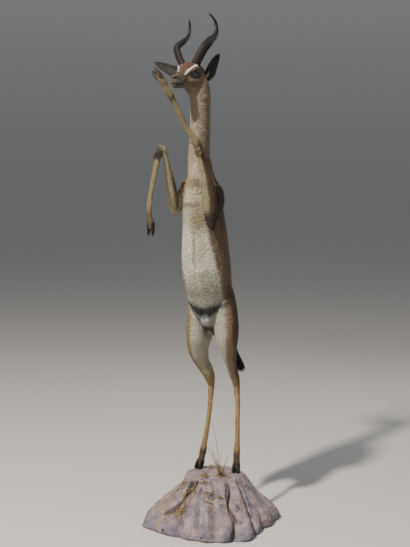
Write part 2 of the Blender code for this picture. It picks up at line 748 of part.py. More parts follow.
def boolean(obj, operation, others, solver="EXACT"):
    """Joins or cuts obj with a list of objects, which are then removed."""
    tools = group("tools_for_" + obj.name, hidden=True)
    for other in others:
        for holder in list(other.users_collection):
            holder.objects.unlink(other)
        tools.objects.link(other)
    cut = obj.modifiers.new("cut", "BOOLEAN")
    cut.operation = operation
    cut.operand_type = "COLLECTION"
    cut.collection = tools
    cut.solver = solver
    baked(obj)
    for other in list(tools.objects):
        bpy.data.objects.remove(other, do_unlink=True)
    bpy.data.collections.remove(tools)
    return obj


def thin_disc(centre, facing, radius):
    turn = Vector(facing).to_track_quat("Z", "Y").to_matrix().to_4x4()
    bm = bmesh.new()
    place = Matrix.Translation(centre) @ turn
    bmesh.ops.create_cone(
        bm, cap_ends=True, segments=32, radius1=radius, radius2=radius, depth=GAP, matrix=place
    )
    return new_object("disc", mesh_of(bm, "disc"), bpy.context.scene.collection)


def grown_copy(obj, margin=GAP):
    made = new_object(obj.name + "_grown", obj.data.copy(), bpy.context.scene.collection)
    grow = made.modifiers.new("grow", "DISPLACE")
    grow.mid_level = 0
    grow.strength = margin
    return baked(made)


def islands(bm):
    """The closed surfaces in bm, each as a set of its faces."""
    left = set(bm.faces)
    found = []
    while left:
        seed = left.pop()
        island, front = {seed}, [seed]
        while front:
            face = front.pop()
            for edge in face.edges:
                for other in edge.link_faces:
                    if other in left:
                        left.discard(other)
                        island.add(other)
                        front.append(other)
        found.append(island)
    return found


def mesh_of_faces(bm, faces, name):
    copy = bm.copy()
    keep = {face.index for face in faces}
    drop = [face for face in copy.faces if face.index not in keep]
    bmesh.ops.delete(copy, geom=drop, context="FACES")
    bmesh.ops.remove_doubles(copy, verts=copy.verts, dist=2e-6)
    bmesh.ops.triangulate(copy, faces=copy.faces)
    mesh = bpy.data.meshes.new(name)
    copy.to_mesh(mesh)
    copy.free()
    return mesh


def keep_largest(obj):
    bm = bmesh.new()
    bm.from_mesh(obj.data)
    bm.faces.index_update()
    largest = max(islands(bm), key=len)
    finish = obj.data.materials[0]
    obj.data = mesh_of_faces(bm, largest, obj.name)
    obj.data.materials.append(finish)
    bm.free()
    return obj


def part_by_marks(obj, marks, collection, color):
    """Names each separate surface of obj for the mark that lies nearest to it."""
    bm = bmesh.new()
    bm.from_mesh(obj.data)
    bm.faces.index_update()
    pieces = [piece for piece in islands(bm) if len(piece) > 30]
    trees = []
    for piece in pieces:
        corners = {vert for face in piece for vert in face.verts}
        tree = KDTree(len(corners))
        for i, vert in enumerate(corners):
            tree.insert(vert.co, i)
        tree.balance()
        trees.append(tree)
    made = {}
    for name, mark in marks.items():
        nearest = min(range(len(pieces)), key=lambda i: trees[i].find(Vector(mark))[2])
        mesh = mesh_of_faces(bm, pieces[nearest], name)
        made[name] = new_object(name, mesh, collection, color)
    bm.free()
    bpy.data.objects.remove(obj, do_unlink=True)
    return made


# Hooves: the coronet's centre, the way the claw points, the way its toe faces, and its length

FEET = {
    "hind_right": ((-0.0765, 0.059, 0.268), (-0.22, -0.18, -1), (-0.10, -0.99, 0), 0.268 - SOLE_HEIGHT, True),
    "hind_left": ((0.1045, 0.062, 0.266), (0, -0.15, -1), (0.20, -0.98, 0), 0.266 - SOLE_HEIGHT, True),
    "fore_right": ((-0.1325, -0.366, 1.409), (-0.10, 0.26, -0.96), (0, -0.96, -0.26), 0.054, False),
    "fore_left": ((-0.0655, -0.402, 2.020), (-0.64, -0.20, 0.74), (0.20, 0.90, 0.30), 0.053, False),
}
STANDING_CLAW = [
    (0.0, 0.0088, 0.0175, 0.0000, 0.0092),
    (0.4, 0.0095, 0.0200, 0.0020, 0.0099),
    (1.0, 0.0090, 0.0195, 0.0060, 0.0100),
]
HANGING_CLAW = [
    (0.00, 0.0080, 0.0150, 0.0000, 0.0084),
    (0.35, 0.0082, 0.0145, 0.0000, 0.0089),
    (0.75, 0.0058, 0.0090, 0.0030, 0.0100),
    (1.00, 0.0020, 0.0028, 0.0070, 0.0108),
]


def claw(name, foot, side, collection, sides=10):
    coronet, way, toe, length, standing = FEET[foot]
    way = Vector(way).normalized()
    toe = (Vector(toe) - way * way.dot(Vector(toe))).normalized()
    out = way.cross(toe) * side
    rings = []
    for share, half_width, half_depth, forward, apart in STANDING_CLAW if standing else HANGING_CLAW:
        centre = Vector(coronet) + way * (GAP / 2 + (length - GAP / 2) * share)
        centre += out * apart + toe * forward
        ring = []
        for t in np.linspace(0, 2 * math.pi, sides, endpoint=False):
            width = half_width * math.cos(t) * (0.72 if math.sin(t) > 0.5 else 1)
            point = centre + out * width + toe * half_depth * math.sin(t)
            if standing:
                point.z = min(max(point.z, SOLE_HEIGHT), coronet[2] - GAP / 2)
            ring.append(point)
        rings.append(ring)
    bm = bmesh.new()
    loft_rings(bm, rings)
    return new_object(name, mesh_of(bm, name), collection, "hoof")


# Long hair: flat, tapered locks on the tail's end and the knees

def lock(root, way, bend, length, width, thickness):
    root, way, bend = Vector(root), Vector(way).normalized(), Vector(bend)
    stations = []
    for t in (0, 0.25, 0.5, 0.75, 1):
        centre = root + way * length * t + bend * length * t * t
        shape = math.sin(math.pi * (0.28 + 0.70 * t)) ** 0.8
        stations.append((*centre, max(width / 2 * shape, 0.0004), max(thickness / 2 * shape, 0.0003)))
    side = way.cross(bend) if bend.length > 1e-6 else way.orthogonal()
    bm = bmesh.new()
    tube(bm, stations, side.normalized(), 6, 6, rounded=False)
    return new_object("lock", mesh_of(bm, "lock"), bpy.context.scene.collection)


def tail(collection):
    bm = bmesh.new()
    tube(bm, TAIL, SIDEWAYS, 16, 12)
    made = new_object("tail", mesh_of(bm, "tail"), collection, "fawn")
    locks = []
    for i in range(TAIL_LOCKS):
        share = i / (TAIL_LOCKS - 1)
        angle = i * 2.4
        root = Vector(TAIL[-2][:3]).lerp(Vector(TAIL[-1][:3]), share)
        out = Vector((math.cos(angle), math.sin(angle), 0))
        way = Vector((0.40, 0, -1)) + out * 0.20
        length = 0.112 - 0.028 * share
        locks.append(lock(root + out * 0.004, way, -out * 0.14, length, 0.026, 0.014))
    return keep_largest(boolean(made, "UNION", locks, "MANIFOLD"))


def knee_tuft(obj, carpus, fore, down):
    """A few short locks in front of the knee that lie down the leg."""
    fore, down = Vector(fore).normalized(), Vector(down).normalized()
    across = fore.cross(down)
    locks = []
    for k in (-1, 0, 1):
        root = Vector(carpus) + across * 0.007 * k - fore * 0.002
        way = down * 0.8 + fore * 0.55 + across * 0.15 * k
        locks.append(lock(root, way, down * 0.25, 0.034, 0.011, 0.007))
    return keep_largest(boolean(obj, "UNION", locks, "MANIFOLD"))


# Base

def rock_point(angle, height):
    """A point on the base's side, where round folds meet in narrow creases."""
    heights, reaches, leans, depths = zip(*ROCK_PROFILE)
    share = height / BASE_HEIGHT
    pressed = 0
    for foot, top, width, depth in CREASES:
        away = (math.degrees(angle) - foot - (top - foot) * share + 180) % 360 - 180
        pressed += depth * math.exp(-abs(away / width) ** 1.4)
    spread = np.interp((math.degrees(angle) + 180) % 360 - 180, *zip(*FOOTPRINT))
    reach = np.interp(height, heights, reaches) * (1 + (spread - 1) * (1 - share) ** 0.6)
    reach -= np.interp(height, heights, depths) * (pressed - 0.35)
    lean = np.interp(height, heights, leans)
    x = ROCK_LEAN[0] * lean + reach * math.cos(angle)
    return Vector((x, ROCK_LEAN[1] * lean + reach * math.sin(angle), height))


def base_rock(collection, sides=96):
    bm = bmesh.new()
    angles = np.linspace(0, 2 * math.pi, sides, endpoint=False)
    loft_rings(bm, [[rock_point(angle, row[0]) for angle in angles] for row in ROCK_PROFILE])
    return new_object("base_rock", mesh_of(bm, "base_rock"), collection, "rock")


def straw(name, centres, collection):
    """A stalk through the given points, thinner towards its end."""
    radii = np.linspace(STRAW_RADIUS, STRAW_RADIUS / 2, len(centres))
    bm = bmesh.new()
    stations = [(*centre, radius, radius) for centre, radius in zip(centres, radii)]
    tube(bm, stations, (0.6, 0.64, 0.48), 9, 6, rounded=False)
    return new_object(name, mesh_of(bm, name), collection, "straw")


def straw_lines():
    lines = []
    for root, way, bend, length in STALKS:
        along, aside = Vector(way).normalized() * length, Vector(bend) * length
        lines.append([Vector(root) + along * t + aside * t * t for t in (0, 0.35, 0.7, 1)])
    for (angle, height), (last_angle, last_height) in FALLEN:
        line = []
        for t in (0, 0.25, 0.5, 0.75, 1):
            turn = math.radians(angle + (last_angle - angle) * t)
            rise = height + (last_height - height) * t
            clear = 0.006 + 0.010 * math.sin(math.pi * t)
            line.append(rock_point(turn, rise) + Vector((math.cos(turn), math.sin(turn), 0.8)) * clear)
        line[0] -= Vector((math.cos(math.radians(angle)), math.sin(math.radians(angle)), 0)) * 0.015
        lines.append(line)
    return lines


def build():
    clear_scene()
    parts = group("gerenuk_mount")

    body = boolean(fused("body", body_form, BODY_DETAIL), "DIFFERENCE", [thin_disc(*cut) for cut in BODY_CUTS])
    flesh = part_by_marks(body, BODY_MARKS, parts, "fawn")

    head = fused("skull", head_and_throat_form, HEAD_DETAIL, sculpt=sculpt_face)
    sockets = [eye("socket", mirror, EYE_RADIUS + GAP, parts) for mirror in (1, -1)]
    boolean(head, "DIFFERENCE", [thin_disc(*BODY_CUTS[0]), *sockets])
    flesh.update(part_by_marks(head, {"head": HEAD_PLACE}, parts, "fawn"))

    for side, form in (("right", right_arm_form), ("left", left_arm_form)):
        arm = fused("arm", form, ARM_DETAIL)
        discs = [thin_disc(*cut) for cut in ARM_CUTS[side]]
        boolean(arm, "DIFFERENCE", [grown_copy(flesh["torso"]), *discs])
        flesh.update(part_by_marks(arm, ARM_MARKS[side], parts, "fawn"))
    knee_tuft(flesh["fore_cannon_right"], (-0.143, -0.275, 1.722), (-0.35, -0.85, 0.4), (-0.05, -0.35, -1))
    knee_tuft(flesh["forearm_left"], (0.038, -0.262, 1.735), (-0.35, -0.9, 0.1), (0.15, 0.1, -1))

    for side, mirror in (("left", 1), ("right", -1)):
        eye("eye_" + side, mirror, EYE_RADIUS, parts)
        for made in (horn("horn_" + side, side, parts), ear("ear_" + side, side, parts)):
            keep_largest(boolean(made, "DIFFERENCE", [grown_copy(flesh["head"])]))

    keep_largest(boolean(tail(parts), "DIFFERENCE", [grown_copy(flesh["torso"])]))
    for foot in FEET:
        for place, side in (("a", -1), ("b", 1)):
            claw(f"claw_{foot}_{place}", foot, side, parts)
    rock = base_rock(parts)
    for i, line in enumerate(straw_lines(), 1):
        stalk = straw(f"straw_{i}", line, parts)
        keep_largest(boolean(stalk, "DIFFERENCE", [grown_copy(rock)]))


build()
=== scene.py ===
# Gerenuk ram, a still taxidermy mount that stands upright on a painted rock base with dry straw.
# Metres, +Z up; the breast faces -Y and +X is the animal's left.
import math

import bmesh
import bpy
import numpy as np
from mathutils import Matrix, Vector
from mathutils import noise


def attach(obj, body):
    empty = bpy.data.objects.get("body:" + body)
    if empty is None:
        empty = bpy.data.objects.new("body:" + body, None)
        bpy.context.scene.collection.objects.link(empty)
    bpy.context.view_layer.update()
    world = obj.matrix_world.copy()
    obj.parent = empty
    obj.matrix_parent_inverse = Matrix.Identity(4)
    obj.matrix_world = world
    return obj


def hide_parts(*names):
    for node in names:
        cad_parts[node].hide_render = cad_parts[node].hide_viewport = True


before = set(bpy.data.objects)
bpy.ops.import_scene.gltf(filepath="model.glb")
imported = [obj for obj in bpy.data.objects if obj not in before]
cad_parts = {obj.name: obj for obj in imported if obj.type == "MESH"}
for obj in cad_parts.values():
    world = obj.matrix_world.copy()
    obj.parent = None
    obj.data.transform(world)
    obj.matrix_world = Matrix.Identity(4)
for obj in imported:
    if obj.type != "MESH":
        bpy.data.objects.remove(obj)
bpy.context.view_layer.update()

scene = bpy.context.scene
rng = np.random.default_rng(41)
print("frame loaded:", len(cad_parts), "nodes")


# Small tools

def linear(hexColor):
    parts = [int(hexColor[i:i + 2], 16) / 255 for i in (1, 3, 5)]
    return tuple(p / 12.92 if p <= 0.04045 else ((p + 0.055) / 1.055) ** 2.4 for p in parts)


def smoothstep(low, high, value):
    t = np.clip((value - low) / (high - low), 0, 1)
    return t * t * (3 - 2 * t)


def unit(vectors):
    return vectors / (np.linalg.norm(vectors, axis=-1, keepdims=True) + 1e-12)


def fieldOf(points, size, seed=0):  # smooth noise, one value for each point, about -1 to 1
    shift = Vector((seed * 7.31, seed * 3.17, seed * 5.93))
    return np.array([noise.noise(Vector(p) / size + shift) for p in points])


def pointsOf(mesh):
    points = np.empty(len(mesh.vertices) * 3, np.float32)
    mesh.vertices.foreach_get("co", points)
    return points.reshape(-1, 3).astype(float)


def normalsOf(mesh):
    normals = np.empty(len(mesh.vertices) * 3, np.float32)
    mesh.vertex_normals.foreach_get("vector", normals)
    return normals.reshape(-1, 3).astype(float)


def setPoints(mesh, points):
    mesh.vertices.foreach_set("co", np.asarray(points, np.float32).ravel())
    mesh.update()


def writeAttribute(mesh, name, kind, values):
    made = mesh.attributes.new(name, kind, "POINT")
    made.data.foreach_set("color" if "COLOR" in kind else "vector", np.asarray(values, np.float32).ravel())


def pieceFrom(name, mesh, material, smooth=True):
    if isinstance(mesh, bmesh.types.BMesh):
        bm, mesh = mesh, bpy.data.meshes.new(name)
        bm.to_mesh(mesh)
        bm.free()
    mesh.materials.clear()
    mesh.materials.append(material)
    mesh.polygons.foreach_set("use_smooth", np.full(len(mesh.polygons), smooth))
    piece = bpy.data.objects.new(name, mesh)
    scene.collection.objects.link(piece)
    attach(piece, "root")
    return piece


def bakeModifiers(obj):
    bpy.context.view_layer.update()
    graph = bpy.context.evaluated_depsgraph_get()
    mesh = bpy.data.meshes.new_from_object(obj.evaluated_get(graph))
    obj.modifiers.clear()
    obj.data = mesh
    return mesh


def addNode(tree, kind, inputs=None, stops=None, **settings):
    node = tree.nodes.new(kind)
    for key, value in settings.items():
        setattr(node, key, value)
    for key, value in (inputs or {}).items():
        if isinstance(value, bpy.types.NodeSocket):
            tree.links.new(value, node.inputs[key])
        else:
            node.inputs[key].default_value = value
    for i, (place, color) in enumerate(stops or []):
        elements = node.color_ramp.elements
        stop = elements[i] if i < len(elements) else elements.new(place)
        stop.position = place
        stop.color = (*(linear(color) if isinstance(color, str) else (color,) * 3), 1)
    return node


def newMaterial(name):
    material = bpy.data.materials.new(name)
    material.use_nodes = True
    tree = material.node_tree
    return material, tree, tree.nodes["Principled BSDF"]


# Lofts

def smoothRows(rows, count):  # count rows on a smooth curve through the given ones
    rows = np.array(rows, float)
    steps = np.linalg.norm(np.diff(rows[:, :3], axis=0), axis=1)
    along = np.concatenate([[0], np.cumsum(steps)])
    slopes = np.diff(rows, axis=0) / steps[:, None]
    tangents = np.vstack([slopes[:1], slopes])
    for i in range(1, len(rows) - 1):
        weight = steps[i - 1] / (steps[i - 1] + steps[i])
        tangents[i] = slopes[i - 1] * (1 - weight) + slopes[i] * weight
    at = np.linspace(0, along[-1], count)
    span = np.clip(np.searchsorted(along, at, side="right") - 1, 0, len(steps) - 1)
    t = ((at - along[span]) / steps[span])[:, None]
    length = steps[span][:, None]
    return (
        rows[span] * (1 + 2 * t) * (1 - t) ** 2
        + tangents[span] * length * t * (1 - t) ** 2
        + rows[span + 1] * t**2 * (3 - 2 * t)
        + tangents[span + 1] * length * t**2 * (t - 1)
    )


def runOf(centres):
    return unit(np.gradient(centres, axis=0))


def tubeOf(rings):  # a grid wrapped round into a tube through the rings, with its ends filled
    rings = np.asarray(rings, float)
    count, sides = rings.shape[:2]
    bm = bmesh.new()
    bmesh.ops.create_grid(bm, x_segments=sides, y_segments=count - 1, size=1)
    for vert in bm.verts:
        around = round((vert.co.x + 1) / 2 * sides) % sides
        vert.co = rings[round((vert.co.y + 1) / 2 * (count - 1)), around]
    bmesh.ops.remove_doubles(bm, verts=bm.verts, dist=1e-7)
    bmesh.ops.holes_fill(bm, edges=[edge for edge in bm.edges if edge.is_boundary], sides=0)
    bmesh.ops.recalc_face_normals(bm, faces=bm.faces)
    return bm


def roundEnds(rows):
    ends = []
    for end, near in ((rows[0], rows[1]), (rows[-1], rows[-2])):
        away = unit(end[:3] - near[:3])
        dome = []
        for k in (0.4, 0.75, 0.96):
            ring = end.copy()
            ring[:3] = end[:3] + away * min(end[3], end[4]) * k
            ring[3:5] = end[3:5] * math.sqrt(1 - k * k)
            dome.append(ring)
        ends.append(dome)
    return np.vstack([ends[0][::-1], rows, ends[1]])


def limbFrames(limb, count):  # centres, run, across and deep of a limb's rows
    rows = smoothRows(limb["rows"], count)
    run = runOf(rows[:, :3])
    side = np.array(limb["side"], float)
    across = unit(side - run * (run @ side)[:, None])
    return rows, run, across, np.cross(run, across)


def limbTube(limb, count, sides):
    rows = roundEnds(smoothRows(limb["rows"], count))
    run = runOf(rows[:, :3])
    side = np.array(limb["side"], float)
    across = unit(side - run * (run @ side)[:, None])
    deep = np.cross(run, across)
    t = np.linspace(0, 2 * math.pi, sides, endpoint=False)
    narrow = 1 - limb.get("pinch", 0) * np.clip(np.sin(t), 0, 1) ** 1.5
    wide = across[:, None] * (rows[:, 3, None] * narrow * np.cos(t))[..., None]
    return tubeOf(rows[:, None, :3] + wide + deep[:, None] * (rows[:, 4, None] * np.sin(t))[..., None])


def addBall(bm, centre, radii, turn=None):
    place = Matrix.Translation(centre) @ (turn or Matrix.Identity(4)) @ Matrix.Diagonal((*radii, 1))
    bmesh.ops.create_uvsphere(bm, u_segments=40, v_segments=24, radius=1, matrix=place)


# A strand is a tapered tube of three sides through its path. Tufts, long hair and straw are strands.
def strandMesh(name, paths, widths, flat, ups, colors, patches=None):
    count, steps = paths.shape[:2]
    run = unit(np.gradient(paths, axis=1))
    across = unit(np.cross(ups[:, None], run))
    rise = np.cross(run, across)
    rings = steps - 1
    perStrand = rings * 3 + 1
    verts = np.empty((count, perStrand, 3), np.float32)
    for corner, (a, u) in enumerate(((1, -0.3), (-1, -0.3), (0, 1))):
        offset = across * (widths * a)[..., None] + rise * (widths * u * flat)[..., None]
        verts[:, corner:rings * 3:3] = (paths + offset)[:, :rings]
    verts[:, -1] = paths[:, -1]
    faces = [(0, 1, 2)]
    for k in range(rings - 1):
        low, high = k * 3, k * 3 + 3
        faces += [(low + i, high + i, high + (i + 1) % 3, low + (i + 1) % 3) for i in range(3)]
    last = (rings - 1) * 3
    faces += [(last + i, perStrand - 1, last + (i + 1) % 3) for i in range(3)]
    corners = np.concatenate([np.array(face) for face in faces])
    sizes = np.array([len(face) for face in faces])
    loops = (corners[None] + (np.arange(count) * perStrand)[:, None]).ravel()
    starts = np.concatenate([[0], np.cumsum(np.tile(sizes, count))[:-1]])
    mesh = bpy.data.meshes.new(name)
    mesh.vertices.add(count * perStrand)
    mesh.vertices.foreach_set("co", verts.ravel())
    mesh.loops.add(len(loops))
    mesh.loops.foreach_set("vertex_index", loops.astype(np.int32))
    mesh.polygons.add(len(starts))
    mesh.polygons.foreach_set("loop_start", starts.astype(np.int32))
    mesh.update(calc_edges=True)
    shade = np.linspace(0.86, 1.10, steps)
    ringShade = np.concatenate([np.repeat(shade[:rings], 3), shade[-1:]])
    tint = np.clip(colors[:, None, :] * ringShade[None, :, None], 0, 1)
    writeAttribute(mesh, "coat", "FLOAT_COLOR", np.concatenate([tint, np.ones((*tint.shape[:2], 1))], 2))
    if patches is not None:  # each strand is a small patch where its root lies on the unwrap
        spread = np.array([[math.cos(k * 2.1) * 0.0014, math.sin(k * 2.1) * 0.0014] for k in range(3)])
        corner = np.vstack([np.tile(spread, (rings, 1)), [[0, 0.0008]]])
        uv = patches[:, None] + corner[None]
        layer = mesh.uv_layers.new(name="OFBake")
        layer.data.foreach_set("uv", uv.reshape(-1, 2)[loops].astype(np.float32).ravel())
    return mesh


# Flesh. A station is x, y, z, half width along side, and half depth across it.

limbs = {
    "torso": {"side": (1, 0, 0), "pinch": 0.22, "front": (0, -1, 0), "rows": [
        (-0.034, -0.047, 1.69, 0.046, 0.07),
        (-0.034, -0.045, 1.64, 0.054, 0.088),
        (-0.032, -0.043, 1.585, 0.067, 0.116),
        (-0.028, -0.042, 1.52, 0.08, 0.14),
        (-0.025, -0.041, 1.45, 0.088, 0.15),
        (-0.021, -0.039, 1.39, 0.094, 0.153),
        (-0.019, -0.035, 1.32, 0.101, 0.157),
        (-0.017, -0.032, 1.25, 0.107, 0.158),
        (-0.013, -0.027, 1.18, 0.11, 0.152),
        (-0.01, -0.016, 1.115, 0.108, 0.142),
        (-0.008, -0.002, 1.05, 0.098, 0.122),
        (-0.008, 0.03, 0.995, 0.078, 0.096),
        (-0.008, 0.056, 0.955, 0.054, 0.074),
        (-0.006, 0.076, 0.915, 0.036, 0.054),
    ]},
    "neck": {"side": (1, 0, 0), "front": (0, -1, 0), "rows": [
        (-0.034, -0.04, 1.59, 0.06, 0.096),
        (-0.037, -0.045, 1.65, 0.052, 0.08),
        (-0.04, -0.047, 1.71, 0.047, 0.071),
        (-0.037, -0.049, 1.76, 0.045, 0.067),
        (-0.032, -0.051, 1.85, 0.0442, 0.063),
        (-0.031, -0.055, 1.92, 0.045, 0.06),
        (-0.029, -0.061, 1.975, 0.046, 0.059),
        (-0.034, -0.073, 2.025, 0.046, 0.058),
        (-0.041, -0.085, 2.055, 0.0425, 0.054),
    ]},
    "hindRight": {"side": (0.996, -0.09, 0), "front": (0, -1, 0), "rows": [
        (-0.058, 0.055, 1.12, 0.044, 0.08),
        (-0.0645, 0.056, 1.04, 0.05, 0.104),
        (-0.069, 0.05, 0.96, 0.053, 0.106),
        (-0.0755, 0.045, 0.898, 0.052, 0.1),
        (-0.0775, 0.044, 0.855, 0.049, 0.091),
        (-0.0815, 0.05, 0.815, 0.042, 0.077),
        (-0.0785, 0.062, 0.776, 0.033, 0.061),
        (-0.071, 0.08, 0.735, 0.024, 0.045),
        (-0.0595, 0.1, 0.699, 0.0212, 0.04),
        (-0.053, 0.122, 0.66, 0.0185, 0.034),
        (-0.0525, 0.134, 0.622, 0.0138, 0.0235),
        (-0.0535, 0.132, 0.592, 0.0128, 0.0185),
        (-0.053, 0.119, 0.525, 0.0105, 0.0138),
        (-0.0545, 0.103, 0.456, 0.01, 0.0127),
        (-0.06, 0.09, 0.395, 0.0107, 0.0134),
        (-0.0665, 0.08, 0.345, 0.013, 0.016),
        (-0.07, 0.074, 0.314, 0.0157, 0.0192),
        (-0.073, 0.067, 0.288, 0.0142, 0.0167),
        (-0.0755, 0.061, 0.268, 0.016, 0.019),
        (-0.0765, 0.059, 0.256, 0.015, 0.0175),
    ]},
    "hindLeft": {"side": (0.98, 0.19, 0), "front": (0, -1, 0), "rows": [
        (0.034, 0.048, 1.12, 0.044, 0.084),
        (0.05, 0.045, 1.04, 0.052, 0.104),
        (0.0585, 0.038, 0.97, 0.057, 0.104),
        (0.0665, 0.03, 0.907, 0.0565, 0.098),
        (0.0708, 0.03, 0.865, 0.0505, 0.09),
        (0.0735, 0.038, 0.82, 0.04, 0.074),
        (0.0748, 0.05, 0.787, 0.0325, 0.061),
        (0.0748, 0.066, 0.752, 0.025, 0.046),
        (0.0736, 0.088, 0.712, 0.0202, 0.039),
        (0.078, 0.118, 0.665, 0.0185, 0.034),
        (0.0792, 0.13, 0.631, 0.016, 0.025),
        (0.081, 0.13, 0.6, 0.0142, 0.0195),
        (0.0905, 0.117, 0.545, 0.0108, 0.0142),
        (0.095, 0.101, 0.478, 0.011, 0.013),
        (0.1, 0.088, 0.4, 0.0114, 0.0134),
        (0.1015, 0.079, 0.35, 0.0138, 0.0165),
        (0.1018, 0.074, 0.322, 0.0156, 0.0188),
        (0.103, 0.069, 0.295, 0.015, 0.0172),
        (0.1045, 0.064, 0.266, 0.0165, 0.0192),
        (0.1045, 0.062, 0.253, 0.0155, 0.0175),
    ]},
    "upperArmRight": {"side": (1, 0, 0), "front": (0, -1, 0.3), "rows": [
        (-0.07, -0.04, 1.59, 0.03, 0.052),
        (-0.09, -0.07, 1.545, 0.034, 0.052),
        (-0.108, -0.098, 1.505, 0.03, 0.042),
        (-0.124, -0.122, 1.468, 0.02, 0.026),
    ]},
    "forearmRight": {"side": (1, 0, 0), "front": (0, -1, 0), "rows": [
        (-0.128, -0.126, 1.468, 0.018, 0.022),
        (-0.1225, -0.142, 1.49, 0.0215, 0.03),
        (-0.118, -0.165, 1.535, 0.0225, 0.031),
        (-0.117, -0.186, 1.578, 0.0195, 0.026),
        (-0.1178, -0.212, 1.636, 0.014, 0.018),
        (-0.119, -0.235, 1.69, 0.0112, 0.0135),
        (-0.127, -0.25, 1.732, 0.015, 0.0165),
    ]},
    "cannonRight": {"side": (1, 0, 0), "front": (0, -1, 0), "rows": [
        (-0.134, -0.254, 1.738, 0.015, 0.0165),
        (-0.142, -0.266, 1.705, 0.015, 0.016),
        (-0.1445, -0.29, 1.65, 0.0125, 0.0135),
        (-0.1445, -0.322, 1.582, 0.0115, 0.0125),
        (-0.144, -0.35, 1.515, 0.011, 0.0122),
        (-0.1405, -0.366, 1.467, 0.0128, 0.015),
        (-0.137, -0.371, 1.44, 0.0118, 0.0135),
        (-0.1325, -0.366, 1.409, 0.0155, 0.0165),
        (-0.1322, -0.363, 1.397, 0.0145, 0.015),
    ]},
    "upperArmLeft": {"side": (1, 0, 0), "front": (0, -1, 0.3), "rows": [
        (0.026, -0.044, 1.57, 0.03, 0.05),
        (0.046, -0.086, 1.525, 0.036, 0.056),
        (0.062, -0.136, 1.46, 0.031, 0.044),
        (0.072, -0.172, 1.405, 0.02, 0.027),
    ]},
    "forearmLeft": {"side": (0.81, -0.58, 0), "front": (0, -1, 0), "rows": [
        (0.074, -0.18, 1.405, 0.0175, 0.021),
        (0.0755, -0.19, 1.445, 0.0255, 0.031),
        (0.075, -0.2, 1.505, 0.0268, 0.034),
        (0.071, -0.213, 1.575, 0.0215, 0.028),
        (0.059, -0.228, 1.645, 0.015, 0.019),
        (0.0495, -0.24, 1.697, 0.0138, 0.0165),
        (0.037, -0.253, 1.755, 0.0155, 0.018),
    ]},
    "cannonLeft": {"side": (0.81, -0.58, 0), "front": (0, -1, 0), "rows": [
        (0.034, -0.254, 1.765, 0.015, 0.017),
        (0.018, -0.262, 1.788, 0.014, 0.0155),
        (0.0018, -0.275, 1.814, 0.0118, 0.013),
        (-0.0152, -0.312, 1.874, 0.0106, 0.0118),
        (-0.033, -0.35, 1.934, 0.0108, 0.0118),
        (-0.0435, -0.376, 1.968, 0.015, 0.0172),
        (-0.0525, -0.388, 1.99, 0.0138, 0.0152),
        (-0.0655, -0.402, 2.02, 0.016, 0.017),
        (-0.0725, -0.404, 2.029, 0.0145, 0.0155),
    ]},
    "tail": {"side": (1, 0, 0), "front": (0, 1, 0), "rows": [
        (-0.01, 0.105, 1.085, 0.014, 0.016),
        (-0.006, 0.158, 1.055, 0.013, 0.014),
        (0.002, 0.188, 0.99, 0.011, 0.011),
        (0.018, 0.202, 0.9, 0.009, 0.009),
        (0.038, 0.206, 0.82, 0.008, 0.008),
        (0.054, 0.205, 0.768, 0.007, 0.007),
    ]},
}
lumps = [  # hocks, scrotum, sheath, shoulders and elbows: centre and radii
    ((-0.0525, 0.146, 0.632), (0.0105, 0.016, 0.022)),
    ((0.0792, 0.142, 0.641), (0.0105, 0.016, 0.022)),
    ((0.001, -0.068, 0.966), (0.021, 0.025, 0.028)),
    ((-0.006, -0.118, 1.022), (0.012, 0.014, 0.024)),
    ((-0.092, -0.066, 1.550), (0.030, 0.050, 0.052)),
    ((-0.125, -0.112, 1.458), (0.012, 0.014, 0.015)),
    ((0.048, -0.040, 1.512), (0.028, 0.055, 0.068)),
    ((0.074, -0.162, 1.393), (0.012, 0.014, 0.015)),
]
head = {
    "place": (-0.0560, -0.1350, 2.0650), "yaw": -3.7, "pitch": 10.3,
    # distance ahead of the eyes, half width, height of the top, depth of the underside
    "sections": [
        (0.149, 0.0085, -0.003, -0.033),
        (0.145, 0.0135, 0.0045, -0.044),
        (0.136, 0.017, 0.009, -0.0525),
        (0.116, 0.0192, 0.014, -0.056),
        (0.09, 0.0234, 0.02, -0.0575),
        (0.06, 0.031, 0.03, -0.059),
        (0.03, 0.0435, 0.0425, -0.065),
        (0.0, 0.053, 0.052, -0.0735),
        (-0.03, 0.055, 0.0555, -0.08),
        (-0.06, 0.0535, 0.052, -0.078),
        (-0.09, 0.046, 0.04, -0.066),
        (-0.117, 0.027, 0.017, -0.044),
    ],
    "throat": ((0, 0.055, -0.052), (0.040, 0.050, 0.042)),
    "forms": {
        "brow": ((0.043, 0.002, 0.034), 0.02, 0.0095),
        "hornSeat": ((0.03, 0.012, 0.048), 0.02, 0.005),
        "tearHollow": ((0.036, -0.047, 0.002), 0.016, -0.0035),
        "cheekHollow": ((0.034, -0.06, -0.022), 0.02, -0.0025),
        "jawMuscle": ((0.048, 0.035, -0.04), 0.028, 0.0045),
        "temple": ((0.05, 0.046, 0.016), 0.018, -0.0045),
        "forehead": ((0.0, -0.03, 0.04), 0.022, 0.002),
        "nostrilWing": ((0.0135, -0.137, 0.0025), 0.0085, 0.0022),
        "upperLip": ((0.0195, -0.126, -0.02), 0.011, 0.0022),
        "chin": ((0.012, -0.136, -0.042), 0.01, 0.0015),
    },
    "mouth": [
        (0.149, 0.0, -0.028),
        (0.139, 0.0155, -0.0322),
        (0.112, 0.02, -0.0338),
        (0.076, 0.0265, -0.0342),
    ],
    "cleft": [(0.149, 0, -0.006), (0.150, 0, -0.016), (0.148, 0, -0.024)],
    "nostril": (0.0112, -0.1435, -0.0040), "nostrilSize": (0.0044, 0.0078, 0.0034),
}
